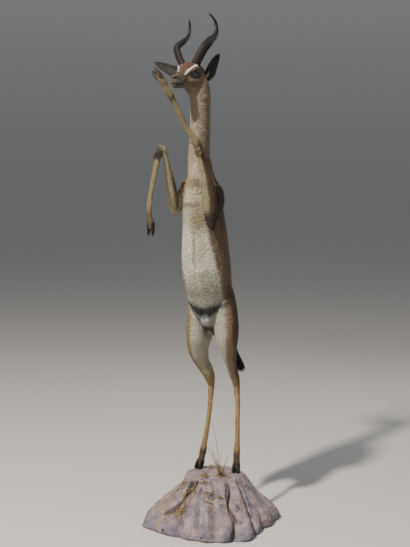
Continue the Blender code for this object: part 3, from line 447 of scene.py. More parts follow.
eyes = {
    "place": (0.0335, 0.000, 0.0085), "aim": (0.86, -0.50, 0.08), "radius": 0.0205,
    "opening": (0.0186, 0.0122), "tilt": 0.15, "lid": 0.0024,
    "iris": 0.0128, "pupil": (0.0098, 0.0056),
}
nodTurn = Matrix.Rotation(math.radians(head["yaw"]), 4, "Z") @ Matrix.Rotation(math.radians(head["pitch"]), 4, "X")
headFrame = Matrix.Translation(head["place"]) @ nodTurn
levelFrame = Matrix.Translation(head["place"]) @ Matrix.Rotation(math.radians(head["yaw"]), 4, "Z")


def toFrame(frameMatrix, points):
    m = np.array(frameMatrix)
    return points @ m[:3, :3].T + m[:3, 3]


def level(back, out, up):
    return np.array(levelFrame @ Vector((out, back, up)))


def headLoft(sides=96, count=120):
    rows = smoothRows([(0, -s, 0, w, top, low) for s, w, top, low in head["sections"]], count)
    t = np.linspace(0, 2 * math.pi, sides, endpoint=False)
    c, s = np.cos(t), np.sin(t)
    taper = np.where(s > 0, 1 - 0.16 * s, 1 - 0.30 * s * s)
    middle, half = (rows[:, 4] + rows[:, 5]) / 2 + 0.004, (rows[:, 4] - rows[:, 5]) / 2
    x = rows[:, 3, None] * taper * np.sign(c) * abs(c) ** 0.86
    z = middle[:, None] + np.sign(s) * abs(s) ** 0.9 * half[:, None] - 0.004 * s
    return tubeOf(toFrame(headFrame, np.stack([x, np.repeat(rows[:, 1, None], sides, 1), z], 2)))


def bulge(points, centre, radius, amount):
    for mirror in (1, -1):
        share = np.exp(-((points - np.array(centre) * [mirror, 1, 1]) ** 2).sum(1) / radius**2)
        points += unit(points * [1, 0, 1] + [0, 0, 0.012]) * (share * amount)[:, None]


def nearPath(points, path):  # distance to a smooth path, in blocks to save memory
    return np.concatenate([
        np.linalg.norm(block[:, None] - path[None], axis=2).min(1) for block in np.array_split(points, 24)
    ])


def groove(points, line, radius, depth):
    for mirror in (1, -1):
        near = nearPath(points, smoothRows([(x * mirror, -s, z) for s, x, z in line], 40))
        inward = unit(points * [1, 0.15, 0.4])
        points -= inward * (np.exp(-((near / radius) ** 2)) * depth)[:, None]


def eyeAxes(mirror):
    centre = np.array(eyes["place"]) * [mirror, 1, 1]
    aim = unit(np.array(eyes["aim"]) * [mirror, 1, 1])
    along = unit(np.cross(aim, [0, 0, 1]))
    along *= -np.sign(along[1])
    up = np.cross(along, aim)
    return centre, aim, along, up * np.sign(up[2])


def openLids(points):
    for mirror in (1, -1):
        centre, aim, along, up = eyeAxes(mirror)
        offset = points - centre
        u = offset @ along
        v = offset @ up + eyes["tilt"] * u
        wide, tall = eyes["opening"]
        height = tall * np.sqrt(np.clip(1 - (u / wide) ** 2, 0.02, 1))
        almond = np.sqrt((u / wide) ** 2 + (v / (height + 0.001)) ** 2)
        length = np.linalg.norm(offset, axis=1)
        direction = offset / (length[:, None] + 1e-9)
        facing = direction @ aim
        inside = (facing > 0) & (almond < 1)
        points[inside] = centre + direction[inside] * np.minimum(length, eyes["radius"] - 0.002)[inside, None]
        rim = ~inside & (facing > -0.25) & (length < 2 * eyes["radius"])
        swell = 1 + 0.05 * np.exp(-((almond - 1.22) / 0.20) ** 2) - 0.05 * np.exp(-((almond - 1.75) / 0.16) ** 2)
        ball = (eyes["radius"] + eyes["lid"]) * swell * np.clip((facing + 0.25) / 0.35, 0, 1)
        points[rim] = centre + direction[rim] * ((length**12 + ball**12) ** (1 / 12))[rim, None]


def sculptFace(points):
    for centre, radius, amount in head["forms"].values():
        bulge(points, centre, radius, amount)
    groove(points, head["mouth"], 0.0026, 0.0052)
    groove(points, head["cleft"], 0.0026, 0.0022)
    for mirror in (1, -1):
        stretch = (points - np.array(head["nostril"]) * [mirror, 1, 1]) / head["nostrilSize"]
        points += np.exp(-(stretch**2).sum(1))[:, None] * np.array([-0.0060 * mirror, 0.0075, -0.001])
    openLids(points)


def coatDepth(points):  # how far the skin lies under the coat's tips
    high = points[:, 2]
    thin = smoothstep(0.86, 0.70, high) + smoothstep(-0.16, -0.22, points[:, 1])
    return 0.0024 - 0.0012 * np.clip(thin, 0, 1) - 0.0006 * smoothstep(0.36, 0.30, high)


def inHead(points):
    local = toFrame(headFrame.inverted(), points)
    return smoothstep(0.115, 0.075, local[:, 1]) * smoothstep(-0.125, -0.10, local[:, 2]) * (points[:, 1] > -0.33)


def buildHide():
    bm = bmesh.new()
    for name, limb in limbs.items():
        made = limbTube(limb, 110 if "hind" in name else 64, 40)
        part = bpy.data.meshes.new(name)
        made.to_mesh(part)
        made.free()
        bm.from_mesh(part)
    made = headLoft()
    part = bpy.data.meshes.new("headLoft")
    made.to_mesh(part)
    made.free()
    bm.from_mesh(part)
    for centre, radii in lumps:
        addBall(bm, centre, radii)
    throat = headFrame @ Vector(head["throat"][0])
    addBall(bm, throat, head["throat"][1], nodTurn)
    mesh = bpy.data.meshes.new("flesh")
    bm.to_mesh(mesh)
    bm.free()
    shape = bpy.data.objects.new("flesh", mesh)
    scene.collection.objects.link(shape)
    remesh = shape.modifiers.new("oneSkin", "REMESH")
    remesh.mode = "VOXEL"
    remesh.voxel_size = 0.0021
    soften = shape.modifiers.new("soften", "SMOOTH")
    soften.iterations = 5
    bakeModifiers(shape)
    points, normals = pointsOf(shape.data), normalsOf(shape.data)
    weight = inHead(points)
    points -= normals * (coatDepth(points) * (1 - weight) + 0.0005 * weight)[:, None]
    near = np.flatnonzero(weight > 0)
    local = toFrame(headFrame.inverted(), points[near])
    sculptFace(local)
    points[near] = toFrame(headFrame, local)
    setPoints(shape.data, points)
    group = shape.vertex_groups.new(name="body")
    group.add([int(i) for i in np.flatnonzero(weight < 0.5)], 1, "REPLACE")
    fewer = shape.modifiers.new("fewer", "DECIMATE")
    fewer.ratio = hideTriangles / (2 * len(shape.data.polygons))
    fewer.vertex_group = "body"
    fewer.vertex_group_factor = 1
    mesh = bakeModifiers(shape)
    bpy.data.objects.remove(shape)
    return mesh


hideTriangles = 150000
fleshMesh = buildHide()
print("hide:", len(fleshMesh.polygons), "faces")


# Ears: cupped leaves from root to tip, as distances behind the eyes, outward and upward

ears = {
    "left": {"root": (0.080, 0.042, -0.009), "tip": (0.150, 0.080, 0.108), "face": (-0.34, 0.94, -0.05), "margin": 1, "rows": 0.75},
    "right": {"root": (0.066, -0.048, -0.006), "tip": (0.020, -0.181, 0.070), "face": (-0.90, 0.02, 0.66), "margin": 0, "rows": 0.22},
    "width": 0.054, "wall": 0.0030, "rows": 60, "across": 22, "streaks": (-0.45, 0.0, 0.45),
}


def earAxes(side):
    root, tip = level(*ears[side]["root"]), level(*ears[side]["tip"])
    axis = unit(tip - root)
    back, out, up = ears[side]["face"]
    face = unit(np.array(levelFrame.to_3x3() @ Vector((out, back, up))))
    face = unit(face - axis * (face @ axis))
    return root, tip, axis, face, np.cross(axis, face)


def earPoint(side, t, k, layer):  # t from root to tip, k across, layer 0 hollow side, 1 back
    root, tip, axis, face, wide = earAxes(side)
    leaf = math.sin(math.pi * min(0.12 + 0.88 * t, 0.9999)) ** 0.62
    half = max(0.5 * ears["width"] * leaf, 0.0165 * (1 - t) ** 3, 0.0016)
    spread = math.radians(50 + 110 * (1 - t) ** 2)
    radius = half / math.sin(min(spread, math.pi / 2))
    wall = min(ears["wall"], radius * 0.45)
    centre = root + axis * np.linalg.norm(tip - root) * t - face * 0.010 * math.sin(math.pi * t)
    spoke = wide * math.sin(spread * k) - face * math.cos(spread * k)
    middle = centre + face * radius + spoke * (radius - ears["wall"] * 0.6)
    return middle + spoke * wall * (layer - 0.5) * (1 - 0.7 * abs(k) ** 6), spoke * (2 * layer - 1)


def earTube(side):
    ks = np.linspace(-1, 1, ears["across"] + 1)
    rings = []
    for t in np.linspace(0, 1, ears["rows"]):
        hollow = [earPoint(side, t, k, 0)[0] for k in ks]
        back = [earPoint(side, t, k, 1)[0] for k in ks]
        rings.append(hollow + back[::-1])
    return tubeOf(rings)


def joinMeshes(name, meshes):
    bm = bmesh.new()
    for mesh in meshes:
        bm.from_mesh(mesh)
    joined = bpy.data.meshes.new(name)
    bm.to_mesh(joined)
    bm.free()
    return joined


earMeshes = []
for side in ("left", "right"):
    bm = earTube(side)
    earMeshes.append(bpy.data.meshes.new("ear"))
    bm.to_mesh(earMeshes[-1])
    bm.free()
hideMesh = joinMeshes("hide", [fleshMesh, *earMeshes])
fleshCount = len(fleshMesh.vertices)
earCount = len(earMeshes[0].vertices)


# Where each point of the hide lies: how near each limb, its share along it, and the lie of the hair

def headAsLimb():
    rows = smoothRows([(0, -s, (top + low) / 2, w, (top - low) / 2) for s, w, top, low in head["sections"]], 30)
    rows[:, :3] = toFrame(headFrame, rows[:, :3])
    run = runOf(rows[:, :3])
    side = np.array(headFrame.to_3x3() @ Vector((1, 0, 0)))
    across = unit(side - run * (run @ side)[:, None])
    return rows, run, across, np.cross(run, across)


limbNames = list(limbs) + ["head"]
rowsOf = {"torso": 44, "neck": 30, "hindRight": 64, "hindLeft": 64, "tail": 20}
frames = {name: limbFrames(limb, rowsOf.get(name, 24)) for name, limb in limbs.items()}
frames["head"] = headAsLimb()
upward = {"neck", "forearmRight", "forearmLeft"}  # drawn from below, so their hair lies against the run


def placeOnLimbs(points):
    count = len(points)
    near = np.full((count, len(limbNames)), 9.0)
    share, side, deep = (np.zeros((count, len(limbNames))) for _ in range(3))
    runs = np.zeros((count, len(limbNames), 3))
    for start in range(0, count, 8000):
        block = slice(start, start + 8000)
        for i, name in enumerate(limbNames):
            rows, run, across, depth = frames[name]
            offset = points[block, None] - rows[None, :, :3]
            reach = np.sqrt(rows[:, 3] * rows[:, 4])
            best = (np.linalg.norm(offset, axis=2) / reach).argmin(1)
            picked = offset[np.arange(len(best)), best]
            x = (picked * across[best]).sum(1) / rows[best, 3]
            y = (picked * depth[best]).sum(1) / rows[best, 4]
            z = (picked * run[best]).sum(1) / reach[best]
            near[block, i] = np.sqrt(x * x + y * y + z * z)
            share[block, i] = best / (len(rows) - 1)
            side[block, i], deep[block, i] = x, y
            runs[block, i] = run[best] * (-1 if name in upward else 1)
    weight = np.exp(-(near - near.min(1)[:, None]) / 0.10)
    weight /= weight.sum(1)[:, None]
    return weight, share, side, deep, runs


hidePoints, hideNormals = pointsOf(hideMesh), normalsOf(hideMesh)
weights, shares, sides, deeps, runs = placeOnLimbs(hidePoints)
earMask = np.zeros(len(hidePoints))
earMask[fleshCount:] = 1
lie = (runs * weights[..., None]).sum(1)
for i, side in enumerate(("left", "right")):  # hair on an ear runs to its tip
    lie[fleshCount + earCount * i:fleshCount + earCount * (i + 1)] = earAxes(side)[2]
lie -= hideNormals * (lie * hideNormals).sum(1)[:, None]
lie = unit(lie)
print("lie of the coat found")


# Markings, by limb and by place on it. Colours are those of the hair, with painted shade and shadow in some places.

coat = {
    "fawn": "#6d5b47", "saddle": "#55412f", "belly": "#c9cabb", "bellyLow": "#999a8d", "bellyShade": "#8a8166",
    "midline": "#77694b", "neck": "#867868", "nape": "#574739", "throat": "#9f907c", "chest": "#aea793",
    "golden": "#86643e", "tan": "#6c5d40", "cream": "#c2b9a3", "fold": "#565039", "leg": "#938a6c", "foreCannon": "#6b6145", "edgeBrownAndShade": "#4a3a29",
    "armCream": "#b8b091", "elbowShade": "#2b221b", "inner": "#b4b1a3", "thigh": "#85705a", "thighEdge": "#544330",
    "thighGold": "#8d7a52", "rump": "#d6d1c3", "cannon": "#9c8355", "cannonEdge": "#6e5530", "pastern": "#52452f",
    "groinHairAndShade": "#1f1e1e", "skin": "#a6acb0", "forehead": "#5f382a", "bridge": "#5e4735", "cheek": "#7c6650",
    "olive": "#7b7552", "muzzle": "#5b4b3a", "lip": "#756d5c", "chin": "#56534d", "stripe": "#f0ebe0",
    "under": "#a1968a", "rim": "#161414", "patch": "#15161a", "kneeHair": "#2c211c", "jowlShade": "#4b3a2a",
    "earBack": "#4d4237", "earHollow": "#272522", "earRow": "#7b776a", "earMargin": "#77735a", "tailHair": "#15120f",
}
coatColor = {name: np.array(linear(value)) for name, value in coat.items()}
stripes = {  # on both sides of the head: out, ahead of the eyes, height, and half width of the band
    "arch": [(0.0210, 0.0740, 0.0070, 0.0030), (0.0226, 0.0600, 0.0150, 0.0044), (0.0240, 0.0500, 0.0200, 0.0048),
             (0.0287, 0.0328, 0.0280, 0.0042), (0.0353, 0.0155, 0.0352, 0.0038), (0.0446, -0.0006, 0.0397, 0.0046),
             (0.0477, -0.0137, 0.0332, 0.0044), (0.0500, -0.0300, 0.0280, 0.0036)],
    "under": [(0.0280, 0.0590, -0.0165, 0.0045), (0.0318, 0.0480, -0.0200, 0.0060), (0.0400, 0.0320, -0.0215, 0.0045),
              (0.0503, 0.0052, -0.0215, 0.0036)],
    "jaw": [(0.0154, 0.0560, -0.0450, 0.0075), (0.0178, 0.0271, -0.0517, 0.0085), (0.0201, 0.0031, -0.0605, 0.0080)],
    "temple": [(0.0430, -0.0774, 0.0150, 0.0100), (0.0527, -0.0608, -0.0061, 0.0100), (0.0605, -0.0517, -0.0282, 0.0090)],
    "lips": [(0.0000, 0.1500, -0.0258, 0.0034), (0.0080, 0.1450, -0.0264, 0.0036), (0.0153, 0.1336, -0.0288, 0.0034),
             (0.0178, 0.1100, -0.0312, 0.0030), (0.0182, 0.0950, -0.0324, 0.0022)],
    "slot": [(0.0023, 0.1470, -0.0012, 0.0030), (0.0090, 0.1420, -0.0008, 0.0044), (0.0150, 0.1310, -0.0018, 0.0030)],
}
# spots on the body: centre, radius, tone, share, and how far it stretches across and upward
spots = [
    ((-0.080, -0.098, 1.606), 0.044, "golden", 1.0, (1.0, 1)), ((-0.014, -0.150, 1.592), 0.036, "tan", 0.85, (1.3, 1)),
    ((-0.104, -0.128, 1.533), 0.030, "armCream", 0.8, (1, 1.6)), ((-0.046, -0.172, 1.522), 0.026, "cream", 0.9, (1.5, 1)),
    ((0.004, -0.176, 1.420), 0.046, "bellyShade", 0.9, (1, 1.6)), ((0.020, -0.168, 1.300), 0.030, "bellyShade", 0.35, (0.8, 3)),
    # painted shade, near black, by the left elbow
    ((0.082, -0.200, 1.415), 0.052, "elbowShade", 0.95, (1, 1)), ((0.066, -0.192, 1.382), 0.022, "elbowShade", 0.8, (1, 1)),
    # painted shadow between the thighs, and near black painted shade on the flank behind the left upper arm
    ((-0.012, 0.004, 0.915), 0.034, "groinHairAndShade", 0.9, (1, 1.5)), ((0.074, -0.030, 1.470), 0.050, "elbowShade", 0.6, (1, 2)),
    # dark brown on the lower left flank, partly painted shade
    ((0.093, -0.010, 1.085), 0.045, "edgeBrownAndShade", 0.8, (0.8, 1.5)), ((0.020, 0.129, 1.109), 0.045, "saddle", 0.6, (1, 1)),
    ((0.045, -0.062, 1.730), 0.030, "nape", 0.25, (0.6, 3)), ((-0.140, -0.262, 1.722), 0.026, "kneeHair", 0.9, (1, 1.2)),
    ((0.035, -0.150, 1.145), 0.060, "bellyShade", 0.45, (1, 1.2)), ((-0.010, -0.150, 1.075), 0.040, "bellyShade", 0.35, (1.6, 0.8)),
]
# the fold under the breast, whose shade is painted as a dark line
foldShadeLine = [(-0.066, -0.160, 1.497), (-0.040, -0.176, 1.494), (-0.016, -0.184, 1.492), (0.012, -0.166, 1.497)]


def mixInto(color, name, mask):
    color += (coatColor[name] - color) * np.clip(mask, 0, 1)[:, None]


def band(local, name, soft=1.0):
    beside = np.abs(local * [1, 0, 0]) + local * [0, 1, 1]
    share = np.full(len(local), 9.0)
    for x, y, z, half in smoothRows([(x, -s, z, half) for x, s, z, half in stripes[name]], 60):
        share = np.minimum(share, np.linalg.norm(beside - [x, y, z], axis=1) / half)
    return smoothstep(1 + 0.5 * soft, 1 - 0.5 * soft, share)


def markings(points, normals, weights, shares, sides, deeps):
    part = {name: i for i, name in enumerate(limbNames)}
    color = np.zeros((len(points), 3))
    x, y, z = points.T

    def layer(name, tone):
        return weights[:, part[name], None] * tone

    def plain(name):
        return np.repeat(coatColor[name][None], len(points), 0)

    wander = fieldOf(points, 0.05, 1) * 0.10 + fieldOf(points, 0.015, 2) * 0.05

    # torso: pale breast and belly, fawn flanks, darker saddle
    i = part["torso"]
    turn = np.degrees(np.abs(np.arctan2(sides[:, i], deeps[:, i])))  # 0 at the breast, 180 on the back
    edge = np.interp(z, [0.95, 1.02, 1.08, 1.15, 1.19, 1.25, 1.30, 1.38, 1.55, 1.68],
                     [76, 74, 71, 62, 60, 54, 49, 41, 40, 46]) + wander * 40
    torso = plain("belly")
    mixInto(torso, "bellyLow", smoothstep(1.22, 1.10, z + wander * 0.3))
    mixInto(torso, "chest", smoothstep(1.36, 1.46, z))
    seam = sides[:, i] - np.interp(z, [1.05, 1.20, 1.31, 1.42], [0.00, 0.06, 0.12, 0.18])
    mixInto(torso, "midline", 0.9 * np.exp(-((seam / 0.035) ** 2)) * smoothstep(1.44, 1.40, z) * smoothstep(1.04, 1.30, z))
    mixInto(torso, "fawn", smoothstep(edge - 6, edge + 6, turn))
    mixInto(torso, "saddle", smoothstep(100, 124, turn + wander * 40))
    color += layer("torso", torso)

    # neck: tan, paler down the front, a darker nape
    i = part["neck"]
    front = -deeps[:, i]
    neck = plain("neck")
    mixInto(neck, "throat", smoothstep(0.55, 0.95, front - 0.35 * sides[:, i] + wander))
    mixInto(neck, "nape", smoothstep(0.10, 0.50, -front + wander))
    color += layer("neck", neck)

    # hind legs: brown outside, pale inside and on the rump, golden cannons
    for name, out in (("hindRight", -1), ("hindLeft", 1)):
        i = part[name]
        outward = sides[:, i] * out
        line = np.interp(z, [0.60, 0.80, 0.90], [-0.35, -0.05, 0.27 if out > 0 else 0.02])
        leg = plain("thigh")
        mixInto(leg, "thighGold", 0.8 * smoothstep(0.45, 0.25, outward) * (out < 0) + 0.5 * smoothstep(0.80, 0.68, z))
        mixInto(leg, "thighEdge", smoothstep(0.55, 0.85, outward + wander))
        mixInto(leg, "inner", smoothstep(line + 0.16, line - 0.22, outward + wander) * smoothstep(0.62, 0.82, z))
        mixInto(leg, "rump", smoothstep(0.55, 0.95, -deeps[:, i] + wander) * smoothstep(0.80, 0.92, z))
        mixInto(leg, "cannon", smoothstep(0.70, 0.60, z))
        mixInto(leg, "cannonEdge", 0.7 * smoothstep(0.35, 0.9, outward) * smoothstep(0.70, 0.60, z))
        mixInto(leg, "pastern", smoothstep(0.345, 0.310, z + wander * 0.03))
        color += layer(name, leg)

    # forelegs: olive, with a brown outer edge that is partly painted shade, and near black painted shade at the left
    # elbow
    i = part["upperArmRight"]
    arm = plain("armCream")
    mixInto(arm, "fawn", smoothstep(0.3, 0.8, -sides[:, i] + wander) * smoothstep(0.2, -0.2, deeps[:, i]))
    color += layer("upperArmRight", arm)
    i = part["upperArmLeft"]
    # the left upper arm is painted dark brown all over as shade, paler on its inner side
    arm = plain("edgeBrownAndShade")
    mixInto(arm, "chest", smoothstep(0.0, -0.5, sides[:, i] + wander))
    # near black painted shade towards the elbow
    mixInto(arm, "elbowShade", smoothstep(0.60, 0.90, shares[:, i] + wander * 0.3))
    color += layer("upperArmLeft", arm)
    i = part["forearmLeft"]
    arm = plain("leg")
    mixInto(arm, "foreCannon", smoothstep(0.80, 0.95, shares[:, i]))
    # painted shade: dark brown on the side of the left forearm turned from the light, near black at its elbow end
    mixInto(arm, "edgeBrownAndShade", smoothstep(0.45, 0.80, sides[:, i] + 0.35 * deeps[:, i] + wander))
    mixInto(arm, "elbowShade", smoothstep(0.24, 0.06, shares[:, i] + wander * 0.3))
    color += layer("forearmLeft", arm)
    i = part["forearmRight"]
    arm = plain("leg")
    mixInto(arm, "armCream", 0.4 * smoothstep(0.6, 0.3, shares[:, i]))
    # painted shade where the right forearm meets the chest by the elbow
    mixInto(arm, "edgeBrownAndShade", 0.8 * smoothstep(0.62, 0.92, sides[:, i] + wander) * smoothstep(0.75, 0.45, shares[:, i]))
    color += layer("forearmRight", arm)
    for name, dark in (("cannonRight", 0.35), ("cannonLeft", 1.0)):
        i = part[name]
        arm = plain("leg")
        mixInto(arm, "foreCannon", np.full(len(points), dark))
        # a dark brown edge, partly painted shade
        mixInto(arm, "edgeBrownAndShade", 0.75 * smoothstep(0.25, 0.85, -sides[:, i] + wander))
        mixInto(arm, "pastern", 0.8 * smoothstep(0.74, 0.88, shares[:, i]))
        color += layer(name, arm)

    # tail
    i = part["tail"]
    tone = plain("fawn")
    mixInto(tone, "thighEdge", smoothstep(0.2, 0.5, shares[:, i]))
    mixInto(tone, "tailHair", smoothstep(0.84, 0.94, shares[:, i]))
    color += layer("tail", tone)

    # head: rufous crown, brown muzzle, a white arch over a dark eye patch
    local = toFrame(headFrame.inverted(), points)
    ahead, height, wide = -local[:, 1], local[:, 2], np.abs(local[:, 0])
    face = plain("cheek")
    mixInto(face, "forehead", smoothstep(0.018, 0.034, height + wander * 0.02) * smoothstep(0.088, 0.06, ahead))
    mixInto(face, "bridge", smoothstep(0.045, 0.065, ahead) * smoothstep(-0.014, 0.004, height))
    mixInto(face, "muzzle", smoothstep(0.085, 0.108, ahead + wander * 0.03))
    mixInto(face, "forehead", 0.45 * smoothstep(-0.024, -0.032, height) * smoothstep(0.06, 0.03, ahead))
    # painted shade behind and under the jaw's angle, over a darker brown
    mixInto(face, "jowlShade", smoothstep(0.004, -0.030, ahead) * smoothstep(-0.030, -0.045, height))
    mixInto(face, "nape", 0.8 * smoothstep(-0.070, -0.095, ahead))
    mixInto(face, "lip", 0.75 * smoothstep(-0.010, -0.016, height) * smoothstep(0.075, 0.100, ahead))
    mixInto(face, "chin", smoothstep(-0.032, -0.036, height) * smoothstep(0.065, 0.085, ahead))
    mixInto(face, "throat", 0.35 * smoothstep(-0.055, -0.070, height) * smoothstep(-0.02, 0.03, ahead))
    mixInto(face, "olive", 0.85 * band(local, "jaw", 1.4))
    mixInto(face, "olive", 0.85 * band(local, "temple", 1.4))
    mixInto(face, "under", 0.85 * band(local, "under", 1.2))
    patch = np.hypot((ahead - 0.016) / 0.037, (height - 0.003) / 0.0180)
    mixInto(face, "patch", smoothstep(1.14, 0.94, patch + wander * 0.3) * smoothstep(0.018, 0.026, wide))
    mixInto(face, "stripe", band(local, "arch", 0.7))
    snout = np.linalg.norm(local - np.array([-0.0080, -0.0773, 0.0215]), axis=1)
    mixInto(face, "stripe", 0.7 * smoothstep(0.0075, 0.0045, snout))
    for mirror in (1, -1):
        centre, aim, along, up = eyeAxes(mirror)
        offset = local - centre
        u, v = offset @ along, offset @ up
        v = v + eyes["tilt"] * u
        almond = np.sqrt((u / eyes["opening"][0]) ** 2 + (v / eyes["opening"][1]) ** 2)
        seen = smoothstep(0, 0.3, unit(offset) @ aim)
        mixInto(face, "rim", smoothstep(1.45, 1.20, almond) * seen)
    mixInto(face, "rim", band(local, "slot", 0.8))
    mixInto(face, "rim", 0.95 * band(local, "lips", 0.9))
    mouth = np.minimum(*[
        nearPath(local, smoothRows([(px * m, -s, pz) for s, px, pz in head["mouth"]], 40)) for m in (1, -1)
    ])
    mixInto(face, "rim", 0.92 * smoothstep(0.0062, 0.0026, mouth))
    color += layer("head", face)

    # marks that cross from limb to limb: chest patches, painted shade along the fold under the breast, and the dark
    # groin, which is partly dark hair and partly painted shadow
    for centre, radius, tone, share, (across, upward) in spots:
        away = (points - np.array(centre)) / (radius * np.array([across, 1, upward]))
        mixInto(color, tone, share * smoothstep(1.2, 0.35, np.linalg.norm(away, axis=1) + wander))
    # painted shade: a dark line along the fold under the breast
    fold = nearPath(points, smoothRows(foldShadeLine, 30))
    mixInto(color, "fold", 0.8 * smoothstep(0.011, 0.004, fold))
    # dark groin: partly dark hair, partly painted shadow under the belly
    low = 0.968 + 0.85 * np.abs(x - 0.008)
    high = 1.028 + 0.27 * np.abs(x - 0.015)
    mixInto(color, "groinHairAndShade", smoothstep(high + 0.009, high - 0.007, z + wander * 0.05) * smoothstep(low - 0.012, low + 0.008, z)
            * smoothstep(0.02, -0.03, y) * smoothstep(0.100, 0.085, np.abs(x - 0.01)))
    scrotum = np.linalg.norm((points - np.array([0.006, -0.082, 0.966])) / [0.023, 0.040, 0.029], axis=1)
    mixInto(color, "skin", smoothstep(1.12, 0.90, scrotum))
    return color * (1 + wander[:, None] * 0.5)


def earMarkings(side, points, normals):
    root, tip, axis, face, wide = earAxes(side)
    t = (points - root) @ axis / np.linalg.norm(tip - root)
    across = (points - root) @ wide / (0.5 * ears["width"])
    hollow = smoothstep(-0.2, 0.2, normals @ face)
    color = np.repeat(coatColor["earBack"][None], len(points), 0)
    mixInto(color, "rim", smoothstep(0.80, 1.0, t))
    mixInto(color, "earHollow", hollow)
    mixInto(color, "rim", 0.7 * hollow * (1 - ears[side]["rows"]))
    mixInto(color, "earMargin", 0.8 * hollow * smoothstep(0.55, 0.85, ears[side]["margin"] * across) * smoothstep(0.85, 0.6, t))
    for place in ears["streaks"]:
        broken = smoothstep(0.35, 0.65, fieldOf(points, 0.010, 12) * 0.5 + 0.5)
        mixInto(color, "earRow", ears[side]["rows"] * hollow * broken * np.exp(-((across - place) / 0.09) ** 2) * smoothstep(0.9, 0.6, t))
    return color


color = markings(hidePoints, hideNormals, weights, shares, sides, deeps)
for i, side in enumerate(("left", "right")):
    span = slice(fleshCount + earCount * i, fleshCount + earCount * (i + 1))
    color[span] = earMarkings(side, hidePoints[span], hideNormals[span])
color = np.clip(color, 0.002, 1)
writeAttribute(hideMesh, "coat", "FLOAT_COLOR", np.hstack([color, np.ones((len(color), 1))]))
best = weights.argmax(1)
row = np.arange(len(best))
around = np.arctan2(deeps[row, best], sides[row, best])
girth = np.array([np.sqrt(frames[name][0][:, 3:5].prod(1)).mean() for name in limbNames])[best]
reach = np.array([np.linalg.norm(np.diff(frames[name][0][:, :3], axis=0), axis=1).sum() for name in limbNames])[best]
streak = np.stack([girth * np.cos(around), girth * np.sin(around), shares[row, best] * reach / 7], 1)
writeAttribute(hideMesh, "lie", "FLOAT_VECTOR", streak)
print("markings painted")


# Hair finish: short deer hair, dry and matt, with a faint sheen along its lie

def deerHair(name, onSkin):
    material, tree, shader = newMaterial(name)
    tone = addNode(tree, "ShaderNodeAttribute", attribute_name="coat")
    object_ = addNode(tree, "ShaderNodeTexCoord")
    patchy = addNode(tree, "ShaderNodeTexNoise", {"Vector": object_.outputs["Object"], "Scale": 45, "Detail": 3})
    vary = addNode(tree, "ShaderNodeMapRange", {"Value": patchy.outputs["Fac"], "From Min": 0.3, "From Max": 0.7,
                                                "To Min": 0.88, "To Max": 1.10})
    last = addNode(tree, "ShaderNodeVectorMath", {0: tone.outputs["Color"], 1: vary.outputs["Result"]},
                   operation="MULTIPLY")
    if onSkin:
        along = addNode(tree, "ShaderNodeAttribute", attribute_name="lie")
        # hairs of about 0.9 mm, which is coarser than the real 0.1 mm so that they show
        hairs = addNode(tree, "ShaderNodeTexNoise", {"Vector": along.outputs["Vector"], "Scale": 1100, "Detail": 2})
        darker = addNode(tree, "ShaderNodeMapRange", {"Value": hairs.outputs["Fac"], "From Min": 0.3,
                                                      "From Max": 0.7, "To Min": 0.80, "To Max": 1.08})
        last = addNode(tree, "ShaderNodeVectorMath", {0: last.outputs["Vector"], 1: darker.outputs["Result"]},
                       operation="MULTIPLY")
        bump = addNode(tree, "ShaderNodeBump", {"Height": hairs.outputs["Fac"], "Strength": 0.5,
                                                "Distance": 0.0007})
        tree.links.new(bump.outputs["Normal"], shader.inputs["Normal"])
    tree.links.new(last.outputs["Vector"], shader.inputs["Base Color"])
    shader.inputs["Roughness"].default_value = 0.72
    shader.inputs["IOR"].default_value = 1.5
    shader.inputs["Specular IOR Level"].default_value = 0.35
    shader.inputs["Sheen Weight"].default_value = 0.12
    shader.inputs["Sheen Roughness"].default_value = 0.5
    return material


hideHair = deerHair("tannedHideShortHair", True)
coatHair = deerHair("deerHairTufts", False)
hide = pieceFrom("hide", hideMesh, hideHair)
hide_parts("torso", "neck", "head", "ear_left", "ear_right", "tail")
for side in ("left", "right"):
    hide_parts("thigh_" + side, "shank_" + side, "hind_cannon_" + side)
    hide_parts("upper_foreleg_" + side, "forearm_" + side, "fore_cannon_" + side)


# Horns: ringed for most of their length, leaning back and out, with the tips hooked forward

horns = {
    # distance behind, outward of and above the eyes, and radius
    "line": [
        (0.0127, 0.027, 0.0306, 0.0188),
        (0.0105, 0.0335, 0.0502, 0.0184),
        (0.0116, 0.0476, 0.0773, 0.0181),
        (0.018, 0.0605, 0.1032, 0.0177),
        (0.0272, 0.07, 0.1241, 0.0174),
        (0.0547, 0.0733, 0.1449, 0.0166),
        (0.0875, 0.0703, 0.164, 0.0151),
        (0.1102, 0.0713, 0.1753, 0.013),
        (0.1333, 0.0707, 0.1899, 0.0109),
        (0.1481, 0.0693, 0.2115, 0.009),
        (0.1521, 0.0679, 0.2319, 0.0073),
        (0.1462, 0.0657, 0.253, 0.0054),
        (0.1059, 0.0525, 0.2856, 0.0026),
    ],
    "length": {"left": 1.0, "right": 0.93}, "oval": (1.17, 0.85), "rings": 21, "ringed": 0.70, "ringHeight": 0.075,
    "rows": 340, "sides": 48,
}


